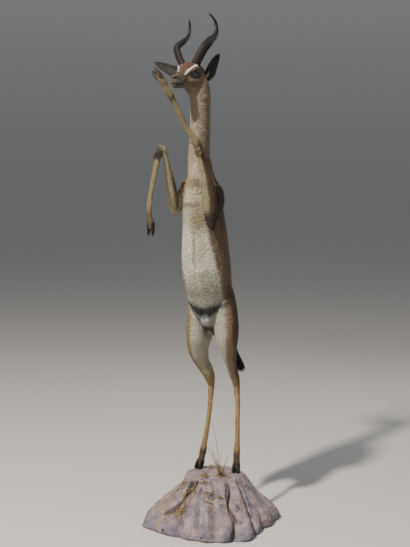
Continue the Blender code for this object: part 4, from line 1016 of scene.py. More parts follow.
def hornShape(side):
    mirror = 1 if side == "left" else -1
    fine = smoothRows(horns["line"], 800)
    fine = fine[:int(800 * horns["length"][side])]
    at = np.linspace(0, 1, horns["rows"])
    fine = np.stack([np.interp(at, np.linspace(0, 1, len(fine)), column) for column in fine.T], 1)
    for k in range(4):  # eases the bends, so that the rings on their inner side stay apart
        for _ in range(60):
            fine[1:-1, k] = (fine[:-2, k] + 2 * fine[1:-1, k] + fine[2:, k]) / 4
    centres = toFrame(levelFrame, fine[:, [1, 0, 2]] * [mirror, 1, 1])
    run = runOf(centres)
    fore = unit(toFrame(levelFrame.to_3x3().to_4x4(), np.array([-0.64 * mirror, -0.77, 0])[None])[0])
    deep = unit(fore - run * (run @ fore)[:, None])
    across = np.cross(run, deep)
    share = at * horns["length"][side]
    radius = np.minimum(fine[:, 3], 0.0014 + 0.05 * (1 - at))
    phase = (at / horns["ringed"] * horns["rings"]) % 1
    ring = np.sin(math.pi * phase**0.75) ** 1.4 * (at < horns["ringed"])
    ring *= smoothstep(0, 0.02, at) * smoothstep(horns["ringed"], horns["ringed"] - 0.12, at) * 0.65 + 0.35
    t = np.linspace(0, 2 * math.pi, horns["sides"], endpoint=False)
    front = 0.72 + 0.28 * np.cos(t)
    size = radius[:, None] * (1 + horns["ringHeight"] * (ring[:, None] * front - 0.25))
    uneven = 1 + 0.012 * np.sin(5 * t[None] + at[:, None] * 9) * (at[:, None] < 0.8)
    long, short = size * horns["oval"][0] * uneven, size * horns["oval"][1] * uneven
    rings = centres[:, None] + deep[:, None] * (long * np.cos(t))[..., None]
    return rings + across[:, None] * (short * np.sin(t))[..., None], t, share


def hornFinish():  # horn keratin: near black, browner and rougher at the root, worn smooth at the tip
    material, tree, shader = newMaterial("ringedHornKeratin")
    along = addNode(tree, "ShaderNodeAttribute", attribute_name="grain")
    # fibres of about 1 mm across, drawn out along the horn
    fibres = addNode(tree, "ShaderNodeTexNoise", {"Vector": along.outputs["Vector"], "Scale": 900, "Detail": 3})
    split = addNode(tree, "ShaderNodeSeparateXYZ", {"Vector": along.outputs["Vector"]})
    height = addNode(tree, "ShaderNodeMapRange", {"Value": split.outputs["Z"], "From Min": 0, "From Max": 0.04})
    tone = addNode(tree, "ShaderNodeValToRGB", {"Fac": height.outputs["Result"]},
                   stops=[(0, "#221b17"), (0.22, "#161313"), (0.7, "#100f10"), (1, "#0b0b0d")])
    worn = addNode(tree, "ShaderNodeMapRange", {"Value": fibres.outputs["Fac"], "From Min": 0.3, "From Max": 0.75,
                                                "To Min": 0.75, "To Max": 1.35})
    last = addNode(tree, "ShaderNodeVectorMath", {0: tone.outputs["Color"], 1: worn.outputs["Result"]},
                   operation="MULTIPLY")
    gloss = addNode(tree, "ShaderNodeMapRange", {"Value": split.outputs["Z"], "From Min": 0, "From Max": 0.045,
                                                 "To Min": 0.72, "To Max": 0.55})
    tree.links.new(last.outputs["Vector"], shader.inputs["Base Color"])
    tree.links.new(gloss.outputs["Result"], shader.inputs["Roughness"])
    shader.inputs["IOR"].default_value = 1.54
    shader.inputs["Specular IOR Level"].default_value = 0.28
    return material


hornKeratin = hornFinish()
for side in ("left", "right"):
    rings, t, share = hornShape(side)
    bm = tubeOf(rings)
    mesh = bpy.data.meshes.new("horn")
    bm.to_mesh(mesh)
    bm.free()
    points = pointsOf(mesh)
    centres = rings.mean(1)
    best = np.concatenate([
        np.linalg.norm(block[:, None] - centres[None], axis=2).argmin(1) for block in np.array_split(points, 12)
    ])
    spoke = points - centres[best]
    writeAttribute(mesh, "grain", "FLOAT_VECTOR", np.hstack([spoke[:, :2], share[best][:, None] * 0.045]))
    made = pieceFrom("horn" + side.title(), mesh, hornKeratin)
    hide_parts("horn_" + side)
print("horns done")


# Eyes: glass taxidermy eyes with a brown iris and a long level pupil

def glassEye(name, mirror):
    material, tree, shader = newMaterial(name)
    centre, aim, along, up = eyeAxes(mirror)
    turn = nodTurn.to_3x3() @ Matrix((along, up, aim)).transposed()
    place = Vector(toFrame(headFrame, centre[None])[0])
    coords = addNode(tree, "ShaderNodeTexCoord")
    inward = Matrix(turn).inverted().to_euler()
    moved = addNode(tree, "ShaderNodeVectorMath", {0: coords.outputs["Object"], 1: tuple(place)},
                    operation="SUBTRACT")
    own = addNode(tree, "ShaderNodeMapping", {"Vector": moved.outputs["Vector"], "Rotation": tuple(inward)})
    flat = addNode(tree, "ShaderNodeVectorMath", {0: own.outputs["Vector"], 1: (1, 1, 0)}, operation="MULTIPLY")
    far = addNode(tree, "ShaderNodeVectorMath", {0: flat.outputs["Vector"]}, operation="LENGTH")
    wide, tall = eyes["pupil"]
    squeezed = addNode(tree, "ShaderNodeVectorMath", {0: own.outputs["Vector"], 1: (1 / wide, 1 / tall, 0)},
                       operation="MULTIPLY")
    pupil = addNode(tree, "ShaderNodeVectorMath", {0: squeezed.outputs["Vector"]}, operation="LENGTH")
    fleck = addNode(tree, "ShaderNodeTexNoise", {"Vector": own.outputs["Vector"], "Scale": 700, "Detail": 2})
    ring = addNode(tree, "ShaderNodeMapRange", {"Value": far.outputs["Value"], "From Min": 0,
                                                "From Max": eyes["iris"] * 1.25})
    iris = addNode(tree, "ShaderNodeValToRGB", {"Fac": ring.outputs["Result"]},
                   stops=[(0.3, "#160e09"), (0.66, "#20140c"), (0.80, "#0c0807"), (0.9, "#080706")])
    depth = addNode(tree, "ShaderNodeMapRange", {"Value": fleck.outputs["Fac"], "To Min": 0.6, "To Max": 1.4})
    warm = addNode(tree, "ShaderNodeVectorMath", {0: iris.outputs["Color"], 1: depth.outputs["Result"]},
                   operation="MULTIPLY")
    inside = addNode(tree, "ShaderNodeMapRange", {"Value": pupil.outputs["Value"], "From Min": 0.9,
                                                  "From Max": 1.05})
    last = addNode(tree, "ShaderNodeVectorMath", {0: warm.outputs["Vector"], 1: inside.outputs["Result"]},
                   operation="MULTIPLY")
    tree.links.new(last.outputs["Vector"], shader.inputs["Base Color"])
    shader.inputs["Roughness"].default_value = 0.14
    shader.inputs["IOR"].default_value = 1.52
    shader.inputs["Coat Weight"].default_value = 0.4
    shader.inputs["Coat Roughness"].default_value = 0.05
    return material


for side, mirror in (("left", 1), ("right", -1)):
    centre, aim, along, up = eyeAxes(mirror)
    bm = bmesh.new()
    bmesh.ops.create_uvsphere(bm, u_segments=64, v_segments=40, radius=eyes["radius"])
    turn = nodTurn @ Matrix((along, up, aim)).transposed().to_4x4()
    for vert in bm.verts:  # the clear front stands a little proud of the ball
        rise = math.exp(-((vert.co.xy.length / eyes["iris"]) ** 4)) if vert.co.z > 0 else 0
        vert.co *= 1 + 0.035 * rise
    place = Vector(toFrame(headFrame, centre[None])[0])
    bmesh.ops.transform(bm, matrix=Matrix.Translation(place) @ turn, verts=bm.verts)
    bmesh.ops.recalc_face_normals(bm, faces=bm.faces)
    made = pieceFrom("eye" + side.title(), bm, glassEye("glassEye" + side.title(), mirror))
    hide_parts("eye_" + side)


# Hooves: two narrow claws on each foot, with growth bands

hooves = {
    # the coronet's centre, the way the claw points, the way its toe faces, its length, and whether it stands on the
    # base
    "hind_right": ((-0.0765, 0.059, 0.268), (-0.22, -0.18, -1), (-0.10, -0.99, 0), 0.0377, True),
    "hind_left": ((0.1045, 0.062, 0.266), (0, -0.15, -1), (0.20, -0.98, 0), 0.0357, True),
    "fore_right": ((-0.1325, -0.366, 1.409), (-0.10, 0.26, -0.96), (0, -0.96, -0.26), 0.054, False),
    "fore_left": ((-0.0655, -0.402, 2.020), (-0.64, -0.20, 0.74), (0.20, 0.90, 0.30), 0.053, False),
}
clawRows = {  # share of the length, half width, half depth, forward, apart
    True: [(0.0, 0.0088, 0.0175, 0.0, 0.0092), (0.4, 0.0095, 0.0200, 0.0020, 0.0099),
           (1.0, 0.0090, 0.0195, 0.0060, 0.0100)],
    False: [(0.00, 0.0080, 0.0150, 0.0, 0.0084), (0.35, 0.0082, 0.0145, 0.0, 0.0089),
            (0.75, 0.0058, 0.0090, 0.0030, 0.0100), (1.00, 0.0020, 0.0028, 0.0070, 0.0108)],
}
soleHeight = 0.2303


def hoofClaw(foot, side):
    coronet, way, toe, length, standing = hooves[foot]
    way = unit(np.array(way, float))
    toe = unit(np.array(toe) - way * (way @ np.array(toe)))
    out = np.cross(way, toe) * side
    table = np.array(clawRows[standing])
    rings = []
    for share in np.linspace(-0.10, 1, 30):
        wide, deep, forward, apart = [np.interp(share, table[:, 0], table[:, k]) for k in (1, 2, 3, 4)]
        band = 1 + 0.018 * math.sin(share * 34) * (share < 0.9) - (0.06 if share < 0.02 else 0)
        if not standing and share > 0.97:
            band *= 0.8
        centre = np.array(coronet) + way * length * share + out * apart + toe * forward
        ring = []
        for t in np.linspace(0, 2 * math.pi, 28, endpoint=False):
            inner = 0.72 if math.sin(t) > 0.5 else 1
            width = wide * math.copysign(abs(math.cos(t)) ** 0.8, math.cos(t)) * inner * band
            point = centre + out * width + toe * deep * math.sin(t) * band
            if standing:
                point[2] = max(point[2], soleHeight)
            ring.append(point)
        rings.append(ring)
    return tubeOf(rings)


def hoofFinish():  # hoof keratin: dark grey brown, satin, with scuffs
    material, tree, shader = newMaterial("hoofKeratin")
    coords = addNode(tree, "ShaderNodeTexCoord")
    scuff = addNode(tree, "ShaderNodeTexNoise", {"Vector": coords.outputs["Object"], "Scale": 160, "Detail": 4})
    tone = addNode(tree, "ShaderNodeValToRGB", {"Fac": scuff.outputs["Fac"]},
                   stops=[(0.3, "#171514"), (0.55, "#26221f"), (0.75, "#3e362e")])
    bump = addNode(tree, "ShaderNodeBump", {"Height": scuff.outputs["Fac"], "Strength": 0.35, "Distance": 0.0006})
    gloss = addNode(tree, "ShaderNodeMapRange", {"Value": scuff.outputs["Fac"], "To Min": 0.60, "To Max": 0.80})
    tree.links.new(tone.outputs["Color"], shader.inputs["Base Color"])
    tree.links.new(gloss.outputs["Result"], shader.inputs["Roughness"])
    tree.links.new(bump.outputs["Normal"], shader.inputs["Normal"])
    shader.inputs["IOR"].default_value = 1.54
    shader.inputs["Specular IOR Level"].default_value = 0.3
    return material


hoofKeratin = hoofFinish()
for foot in hooves:
    for place, side in (("a", -1), ("b", 1)):
        name = f"claw_{foot}_{place}"
        made = pieceFrom("hoof" + foot.title().replace("_", "") + place.upper(), hoofClaw(foot, side),
                         hoofKeratin)
        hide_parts(name)
print("eyes and hooves done")


# Base: folds of painted plaster rock that meet in narrow creases

rock = {
    "height": 0.230, "lean": (0.927, 0.375), "rows": 84, "sides": 560,
    # height, reach, lean, fold depth
    "profile": [
        (0.0, 0.289, 0.008, 0.026),
        (0.01, 0.296, 0.008, 0.036),
        (0.035, 0.29, 0.008, 0.044),
        (0.075, 0.26, 0.012, 0.048),
        (0.105, 0.226, 0.012, 0.048),
        (0.13, 0.198, 0.014, 0.045),
        (0.16, 0.17, 0.02, 0.038),
        (0.19, 0.148, 0.024, 0.028),
        (0.213, 0.138, 0.021, 0.019),
        (0.225, 0.133, 0.018, 0.013),
        (0.23, 0.128, 0.016, 0.008),
    ],
    # each crease: its angle at the foot and at the top, half width, depth
    "creases": [
        (-152, -150, 9, 0.45),
        (-128, -132, 8, 0.35),
        (-101, -109, 9, 0.9),
        (-82, -87, 7, 0.4),
        (-63, -74, 6, 0.45),
        (-50, -42, 6, 1.2),
        (-27, -13, 7, 1.0),
        (-6, -4, 7, 0.4),
        (20, 14, 9, 0.5),
        (44, 46, 9, 0.6),
        (68, 62, 9, 1.0),
        (97, 92, 10, 0.7),
        (122, 126, 8, 1.0),
        (150, 146, 10, 0.6),
        (176, 170, 9, 1.0),
    ],
    # how far the foot reaches at each angle, as a share of the profile
    "footprint": [
        (-180, 0.97),
        (-160, 1.04),
        (-142, 1.12),
        (-132, 1.06),
        (-117, 0.97),
        (-101, 1.0),
        (-88, 0.98),
        (-66, 1.02),
        (-48, 1.09),
        (-38, 1.08),
        (-26, 1.01),
        (-13, 0.87),
        (-5, 0.86),
        (5, 0.93),
        (16, 0.97),
        (29, 1.08),
        (60, 1.04),
        (120, 1.01),
        (160, 0.99),
        (180, 0.97),
    ],
    # thin cracks that follow the folds: angle at the foot and at the top, half width, depth, from, to
    "cracks": [(-124, -112, 4.0, 0.0240, 0.06, 0.229), (-48.5, -41, 1.1, 0.0110, 0.00, 0.220),
               (-30, 8, 1.4, 0.0090, 0.05, 0.16), (-88, -80, 1.6, 0.0040, 0.02, 0.20),
               (-66, -72, 2.2, 0.0045, 0.03, 0.18), (-138, -150, 1.6, 0.0060, 0.05, 0.21),
               (-103, -98, 1.4, 0.0035, 0.01, 0.13), (-157, -160, 1.3, 0.0045, 0.01, 0.15),
               (-14, -20, 1.2, 0.0040, 0.02, 0.12), (33, 30, 1.4, 0.0070, 0.02, 0.19), (56, 52, 1.2, 0.0050, 0.04, 0.21),
               (84, 80, 2.4, 0.0100, 0.02, 0.22), (110, 108, 1.2, 0.0050, 0.05, 0.21),
               (136, 132, 1.6, 0.0090, 0.00, 0.21), (163, 160, 1.2, 0.0050, 0.03, 0.19)],
    # pock marks: angle, height, radius, depth
    "pocks": [(-36.8, 0.127, 0.0070, 0.012), (-68.8, 0.041, 0.0055, 0.009), (-85, 0.150, 0.0040, 0.006),
              (-78, 0.020, 0.0050, 0.007), (-139, 0.030, 0.0060, 0.007), (-118, 0.018, 0.0070, 0.008),
              (-101, 0.012, 0.0060, 0.008), (-8, 0.045, 0.0070, 0.008), (-3, 0.030, 0.0050, 0.007),
              (40, 0.060, 0.0060, 0.008), (118, 0.080, 0.0060, 0.008)],
}


def rockSide(angles, heights):
    heightsAt, reaches, leans, depths = np.array(rock["profile"]).T
    share = heights[:, None] / rock["height"]
    degrees = np.degrees(angles)[None]
    pressed = np.zeros((len(heights), len(angles)))
    cut = np.zeros_like(pressed)
    bend = 1.6 * np.sin(share * 9 + degrees * 0.11)
    for foot, top, width, depth in rock["creases"]:
        away = np.abs((degrees + bend - foot - (top - foot) * share + 180) % 360 - 180)
        pressed += depth * (0.62 * np.exp(-((away / width) ** 1.4)) + 0.38 * np.exp(-away / (0.30 * width)))
    for foot, top, width, depth, low, high in rock["cracks"]:
        away = np.abs((degrees + 2 * bend - foot - (top - foot) * share + 180) % 360 - 180)
        held = smoothstep(low, low + 0.03, heights[:, None]) * smoothstep(high, high - 0.03, heights[:, None])
        cut += depth * held * np.exp(-away / width)
    spread = np.interp((degrees + 180) % 360 - 180, *np.array(rock["footprint"], float).T)
    reach = np.interp(heights, heightsAt, reaches)[:, None] * (1 + (spread - 1) * (1 - share) ** 0.6)
    reach = reach - np.interp(heights, heightsAt, depths)[:, None] * (pressed - 0.35) - cut
    pressed = pressed + cut * 90
    lean = np.interp(heights, heightsAt, leans)[:, None]
    x = rock["lean"][0] * lean + reach * np.cos(angles)
    y = rock["lean"][1] * lean + reach * np.sin(angles)
    return np.stack([x, y, np.broadcast_to(heights[:, None], x.shape)], 2), pressed


def rockPoint(angle, height):
    place, _ = rockSide(np.array([math.radians(angle)]), np.array([height]))
    return place[0, 0]


def buildRock():
    angles = np.linspace(0, 2 * math.pi, rock["sides"], endpoint=False)
    heights = np.concatenate([[0, 0.004], np.linspace(0.010, 0.224, rock["rows"] - 3), [0.230]])
    walls, pressed = rockSide(angles, heights)
    middle = walls[-1].mean(0)
    tops = [middle + (walls[-1] - middle) * s for s in (0.96, 0.9, 0.82, 0.7, 0.55, 0.4, 0.25, 0.12, 0.03)]
    creasePressing = np.vstack([pressed, np.zeros((len(tops), len(angles)))])
    rings = np.concatenate([walls, np.array(tops)])
    flat = rings.reshape(-1, 3)
    out = unit((flat - middle) * [1, 1, 0.3])
    rough = fieldOf(flat, 0.055, 3) * 0.0034 + fieldOf(flat, 0.020, 4) * 0.0020 + fieldOf(flat, 0.008, 5) * 0.0010
    pits = np.clip(fieldOf(flat, 0.012, 6) - 0.42, 0, 1) * -0.020
    for angle, height, radius, depth in rock["pocks"]:
        centre = rockPoint(angle, height)
        pits -= depth * np.exp(-((((flat - centre) ** 2).sum(1)) / radius**2) ** 1.5)
    share = flat[:, 2] / rock["height"]
    hold = smoothstep(0.0, 0.06, share) * smoothstep(1.0, 0.93, share)
    flat = flat + out * ((rough + pits) * hold)[:, None]
    onTop = share > 0.97
    flat[:, 2] -= onTop * (0.0006 + 0.0010 * np.abs(fieldOf(flat, 0.03, 7))) * (np.arange(len(flat)) >= len(walls[0]) * len(walls))
    bm = tubeOf(flat.reshape(rings.shape))
    return bm, flat, creasePressing.reshape(-1), rough + pits


def rockFinish():  # plaster rock under matt paint: lilac grey, with dust, and the creases painted dark, partly dirt and partly painted shade
    material, tree, shader = newMaterial("paintedPlasterRock")
    coords = addNode(tree, "ShaderNodeTexCoord")
    tone = addNode(tree, "ShaderNodeAttribute", attribute_name="coat")
    # paint clouds of about 40 mm, and sand grit of about 1.5 mm, coarser than the real grit so that it shows
    clouds = addNode(tree, "ShaderNodeTexNoise", {"Vector": coords.outputs["Object"], "Scale": 24, "Detail": 5,
                                                  "Roughness": 0.6})
    grit = addNode(tree, "ShaderNodeTexNoise", {"Vector": coords.outputs["Object"], "Scale": 420, "Detail": 3})
    cloudy = addNode(tree, "ShaderNodeValToRGB", {"Fac": clouds.outputs["Fac"]},
                     stops=[(0.28, "#b4b2bc"), (0.5, "#e2dcdc"), (0.72, "#ffffff")])
    gritty = addNode(tree, "ShaderNodeMapRange", {"Value": grit.outputs["Fac"], "From Min": 0.3, "From Max": 0.7,
                                                  "To Min": 0.88, "To Max": 1.08})
    painted = addNode(tree, "ShaderNodeVectorMath", {0: tone.outputs["Color"], 1: cloudy.outputs["Color"]},
                      operation="MULTIPLY")
    last = addNode(tree, "ShaderNodeVectorMath", {0: painted.outputs["Vector"], 1: gritty.outputs["Result"]},
                   operation="MULTIPLY")
    fine = addNode(tree, "ShaderNodeBump", {"Height": grit.outputs["Fac"], "Strength": 0.5, "Distance": 0.0012})
    broad = addNode(tree, "ShaderNodeBump", {"Height": clouds.outputs["Fac"], "Strength": 0.5, "Distance": 0.006,
                                             "Normal": fine.outputs["Normal"]})
    tree.links.new(last.outputs["Vector"], shader.inputs["Base Color"])
    tree.links.new(broad.outputs["Normal"], shader.inputs["Normal"])
    shader.inputs["Roughness"].default_value = 0.9
    shader.inputs["Specular IOR Level"].default_value = 0.25
    return material


rockPaint = {
    "face": "#9b9094", "warm": "#a3938d", "crease": "#3f3a36", "dust": "#aca5a6", "lilac": "#77788c",
    "blue": "#6a7380", "sand": "#8b7e6c", "stain": "#625a53", "pitShade": "#1d1b1c",
}
# brushed marks: angle at the foot and at the top, half width, from, to, tone and share
paintMarks = [
    (-78, -92, 4.0, 0.06, 0.17, "blue", 0.85), (-72, -80, 3.0, 0.02, 0.10, "lilac", 0.8), (-66, -72, 3.4, 0.04, 0.17, "stain", 0.6),
    (-55, -52, 5.0, 0.00, 0.05, "lilac", 0.9), (-57, -56, 4.0, 0.12, 0.20, "blue", 0.6), (-20, 4, 6.0, 0.10, 0.19, "lilac", 0.8),
    (-150, -150, 12, 0.00, 0.04, "lilac", 0.9), (-108, -106, 9.0, 0.00, 0.05, "lilac", 0.9), (-124, -150, 13, 0.08, 0.21, "sand", 0.65),
    (-125, -150, 3.0, 0.05, 0.20, "sand", 0.6), (-135, -130, 5.0, 0.02, 0.07, "lilac", 0.6), (-150, -170, 5.0, 0.18, 0.225, "blue", 0.6),
    (-28, -26, 6.0, 0.00, 0.05, "lilac", 0.8), (60, 60, 12, 0.02, 0.12, "lilac", 0.6), (100, 110, 8.0, 0.08, 0.20, "sand", 0.5),
    (150, 150, 10, 0.00, 0.06, "lilac", 0.8), (20, 16, 5.0, 0.08, 0.20, "blue", 0.6), (180, 176, 6.0, 0.06, 0.16, "stain", 0.5),
]
bm, flat, creasePressing, rough = buildRock()
mesh = bpy.data.meshes.new("rock")
bm.to_mesh(mesh)
bm.free()
points = pointsOf(mesh)
angle, high = np.arctan2(points[:, 1], points[:, 0]), points[:, 2]
_, pressedAt = rockSide(np.linspace(-math.pi, math.pi, 721), np.linspace(0, 0.230, 47))
angleAt = np.clip(((angle + math.pi) / (2 * math.pi) * 720).round().astype(int), 0, 720)
heightAt = np.clip((high / 0.230 * 46).round().astype(int), 0, 46)
pressedHere = pressedAt[heightAt, angleAt]
crease = smoothstep(0.55, 1.5, pressedHere + fieldOf(points, 0.03, 8) * 0.25)
tone = np.repeat(np.array(linear(rockPaint["face"]))[None], len(points), 0)


def brush(name, share):
    global tone
    tone = tone + (np.array(linear(rockPaint[name])) - tone) * np.clip(share, 0, 1)[:, None]


brush("warm", 0.8 * smoothstep(-0.1, 0.35, fieldOf(points, 0.060, 10)))
brush("lilac", 0.55 * smoothstep(0.10, 0.5, fieldOf(points, 0.045, 11)) + 0.45 * smoothstep(0.045, 0.015, high))
brush("dust", 0.55 * smoothstep(0.15, 0.5, fieldOf(points, 0.035, 9)))
turned = np.degrees(angle)
for foot, top, half, low, above, name, share in paintMarks:
    away = np.abs((turned - foot - (top - foot) * high / 0.230 + 180) % 360 - 180) / half
    held = smoothstep(low - 0.012, low + 0.012, high) * smoothstep(above + 0.012, above - 0.012, high)
    brush(name, share * held * smoothstep(1.25, 0.35, away + fieldOf(points, 0.018, 14) * 0.5))
brush("stain", 0.5 * smoothstep(0.22, 0.5, fieldOf(points, 0.014, 13)))
# the creases are painted dark, partly dirt and partly painted shade
brush("crease", 0.85 * crease * smoothstep(0.229, 0.215, high))
# painted shade: the pock marks are painted near black
for spotAngle, spotHeight, radius, _ in rock["pocks"]:
    brush("pitShade", smoothstep(1.25, 0.7, np.linalg.norm(points - rockPoint(spotAngle, spotHeight), axis=1) / radius))
writeAttribute(mesh, "coat", "FLOAT_COLOR", np.hstack([tone, np.ones((len(tone), 1))]))
base = pieceFrom("rockBase", mesh, rockFinish())
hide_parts("base_rock")
print("rock done")


# Straw: stalks that stand round the left hoof, and litter that lies on the folds

straw = {
    "radius": 0.0021,
    "standing": [
        ((0.068, -0.04, 0.215), (-0.11, 0.02, 1), (-0.06, -0.02, 0), 0.29),
        ((0.074, -0.032, 0.215), (-0.3, -0.04, 1), (-0.08, 0.0, -0.05), 0.19),
        ((0.006, -0.05, 0.215), (-0.4, -0.3, 1), (-0.25, -0.15, -0.3), 0.09),
    ],
    # the angle and height of each end
    "fallen": [
        ((-93, 0.195), (-108, 0.105)),
        ((-112, 0.135), (-104, 0.07)),
        ((-82, 0.15), (-54, 0.14)),
    ],
}


def stalkPaths():
    paths = []
    for root, way, bend, length in straw["standing"]:
        way, bend = unit(np.array(way, float)), np.array(bend, float)
        paths.append([np.array(root) + way * length * t + bend * length * t * t for t in np.linspace(0, 1, 10)])
    for (angle, height), (lastAngle, lastHeight) in straw["fallen"]:
        line = []
        for t in np.linspace(0, 1, 10):
            turn = angle + (lastAngle - angle) * t
            out = np.array([math.cos(math.radians(turn)), math.sin(math.radians(turn)), 0.8])
            line.append(rockPoint(turn, height + (lastHeight - height) * t) + out * (0.003 + 0.010 * math.sin(math.pi * t)))
        paths.append(line)
    return np.array(paths)


def dryStraw():  # dried grass stems: pale yellow, satin along the stem
    material, tree, shader = newMaterial("driedGrassStem")
    tone = addNode(tree, "ShaderNodeAttribute", attribute_name="coat")
    coords = addNode(tree, "ShaderNodeTexCoord")
    spots = addNode(tree, "ShaderNodeTexNoise", {"Vector": coords.outputs["Object"], "Scale": 120, "Detail": 3})
    vary = addNode(tree, "ShaderNodeMapRange", {"Value": spots.outputs["Fac"], "From Min": 0.3, "From Max": 0.7,
                                                "To Min": 0.75, "To Max": 1.12})
    last = addNode(tree, "ShaderNodeVectorMath", {0: tone.outputs["Color"], 1: vary.outputs["Result"]},
                   operation="MULTIPLY")
    tree.links.new(last.outputs["Vector"], shader.inputs["Base Color"])
    shader.inputs["Roughness"].default_value = 0.6
    return material


strawFinish = dryStraw()
strawTones = np.array([linear(c) for c in ("#ab9258", "#bfa974", "#8a7044", "#6b5434")])
litter = {
    # on the folds: angle, height, spread of the angle, spread of the height, how many
    "folds": [(-115, 0.192, 4, 0.016, 16), (-118, 0.168, 5, 0.012, 10), (-140, 0.190, 9, 0.014, 9), (-110, 0.096, 5, 0.010, 18),
              (-80, 0.178, 7, 0.006, 9), (-60, 0.166, 6, 0.004, 7), (-84, 0.222, 10, 0.006, 8), (95, 0.200, 14, 0.02, 10)],
    # on the flat top: the middle of each clump, its spread, how many
    "top": [(0.000, -0.070, 0.022, 14), (0.060, -0.030, 0.020, 12), (-0.030, 0.080, 0.030, 9), (0.100, -0.060, 0.02, 5)],
    # standing: the middle, its spread, how many, the shortest and the longest
    "standing": [(0.066, -0.034, 0.010, 16, 0.05, 0.19), (0.004, -0.066, 0.008, 8, 0.025, 0.055)],
    "radius": 0.0014,
}


def litterPaths():
    made = []
    for angle, height, wide, tall, count in litter["folds"]:
        for _ in range(count):
            start = np.array([angle + rng.normal(0, wide * 0.5), height + rng.normal(0, tall * 0.6)])
            way = np.array([rng.normal(0, wide), rng.normal(0, tall * 1.6)])
            line = []
            for t in np.linspace(0, 1, 7):
                turn, up = start + way * (t - 0.5) * 1.6
                up = min(max(up, 0.01), 0.226)
                out = np.array([math.cos(math.radians(turn)), math.sin(math.radians(turn)), 0.8])
                line.append(rockPoint(turn, up) + out * (0.0015 + 0.006 * math.sin(math.pi * t) * rng.uniform(0.3, 1)))
            made.append(line)
    for x, y, spread, count in litter["top"]:
        for _ in range(count):
            middle = np.array([x, y, 0.2306]) + np.append(rng.normal(0, spread * 0.5, 2), 0)
            turn, length = rng.uniform(0, math.pi), rng.uniform(0.020, 0.060)
            way = np.array([math.cos(turn), math.sin(turn), 0]) * length
            rise = rng.uniform(0.002, 0.010)
            made.append([middle + way * (t - 0.5) + [0, 0, rise * math.sin(math.pi * t)] for t in np.linspace(0, 1, 7)])
    for x, y, spread, count, short, tall in litter["standing"]:
        for _ in range(count):
            foot = np.array([x, y, 0.2285]) + np.append(rng.normal(0, spread * 0.6, 2), 0)
            way = unit(np.append(rng.normal(-0.10, 0.22, 2), 1.0))
            bend = np.append(rng.normal(0, 0.12, 2), -0.05)
            length = rng.uniform(short, tall)
            made.append([foot + way * length * t + bend * length * t * t for t in np.linspace(0, 1, 7)])
    return np.array(made)


paths = litterPaths()
widths = np.linspace(1, 0.5, 7)[None] * litter["radius"] * rng.uniform(0.7, 1.3, (len(paths), 1))
tints = strawTones[rng.integers(0, 4, len(paths))] * rng.uniform(0.45, 1.15, (len(paths), 1))
mesh = strandMesh("strawLitter", paths, widths, 1.2, np.repeat([[0.6, 0.64, 0.48]], len(paths), 0), tints)
pieceFrom("strawLitter", mesh, strawFinish)
paths = stalkPaths()
for i, path in enumerate(paths):
    widths = np.linspace(straw["radius"], straw["radius"] * 0.4, 10)[None]
    up = np.array([[0.6, 0.64, 0.48]])
    mesh = strandMesh(f"stalk{i + 1}", path[None], widths, 1.4, up, strawTones[i % 4][None])
    made = pieceFrom(f"stalk{i + 1}", mesh, strawFinish)
    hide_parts(f"straw_{i + 1}")
print("straw done")


# Coat: tufts that lie along the body, shortest on the face and feet

coatSizes = {  # length, half width, lift of the tip, and how many times the tufts cover the skin
    "torso": (0.0165, 0.00125, 0.0011, 1.20), "neck": (0.0150, 0.00115, 0.0010, 1.20),
    "hindRight": (0.0135, 0.00115, 0.0011, 1.15), "hindLeft": (0.0135, 0.00115, 0.0011, 1.15),
    "upperArmRight": (0.0130, 0.00115, 0.0018, 1.15), "upperArmLeft": (0.0130, 0.00115, 0.0018, 1.15),
    "forearmRight": (0.0100, 0.00095, 0.0013, 1.1), "forearmLeft": (0.0100, 0.00095, 0.0013, 1.1),
    "cannonRight": (0.0075, 0.00075, 0.0010, 1.05), "cannonLeft": (0.0075, 0.00075, 0.0010, 1.05),
    "tail": (0.0160, 0.00120, 0.0022, 1.3), "head": (0.0052, 0.00070, 0.0009, 1.15),
}
coatPieces = {
    "coatBreast": ["torso"], "coatBack": ["torso"], "coatNeck": ["neck"],
    "coatHindRight": ["hindRight"], "coatHindLeft": ["hindLeft"],
    "coatForeRight": ["upperArmRight", "forearmRight", "cannonRight"],
    "coatForeLeft": ["upperArmLeft", "forearmLeft", "cannonLeft"],
    "coatHeadRight": ["head"], "coatHeadLeft": ["head"], "coatTail": ["tail"],
}


def trianglesOf(mesh):
    mesh.calc_loop_triangles()
    found = np.empty(len(mesh.loop_triangles) * 3, np.int32)
    mesh.loop_triangles.foreach_get("vertices", found)
    return found.reshape(-1, 3)


triangles = trianglesOf(hideMesh)
corners = hidePoints[triangles]
areas = np.linalg.norm(np.cross(corners[:, 1] - corners[:, 0], corners[:, 2] - corners[:, 0]), axis=1) / 2
sizeTable = np.array([coatSizes[name] for name in limbNames])
sizes = weights @ sizeTable
headLocal = toFrame(headFrame.inverted(), hidePoints)
muzzle = smoothstep(0.03, 0.11, -headLocal[:, 1]) * weights[:, limbNames.index("head")]
feet = smoothstep(0.42, 0.28, hidePoints[:, 2])
small = (1 - 0.50 * muzzle) * (1 - 0.40 * feet)
sizes[:, :3] *= small[:, None]
sizes[fleshCount:] = (0.0080, 0.00080, 0.0009, 0.9)


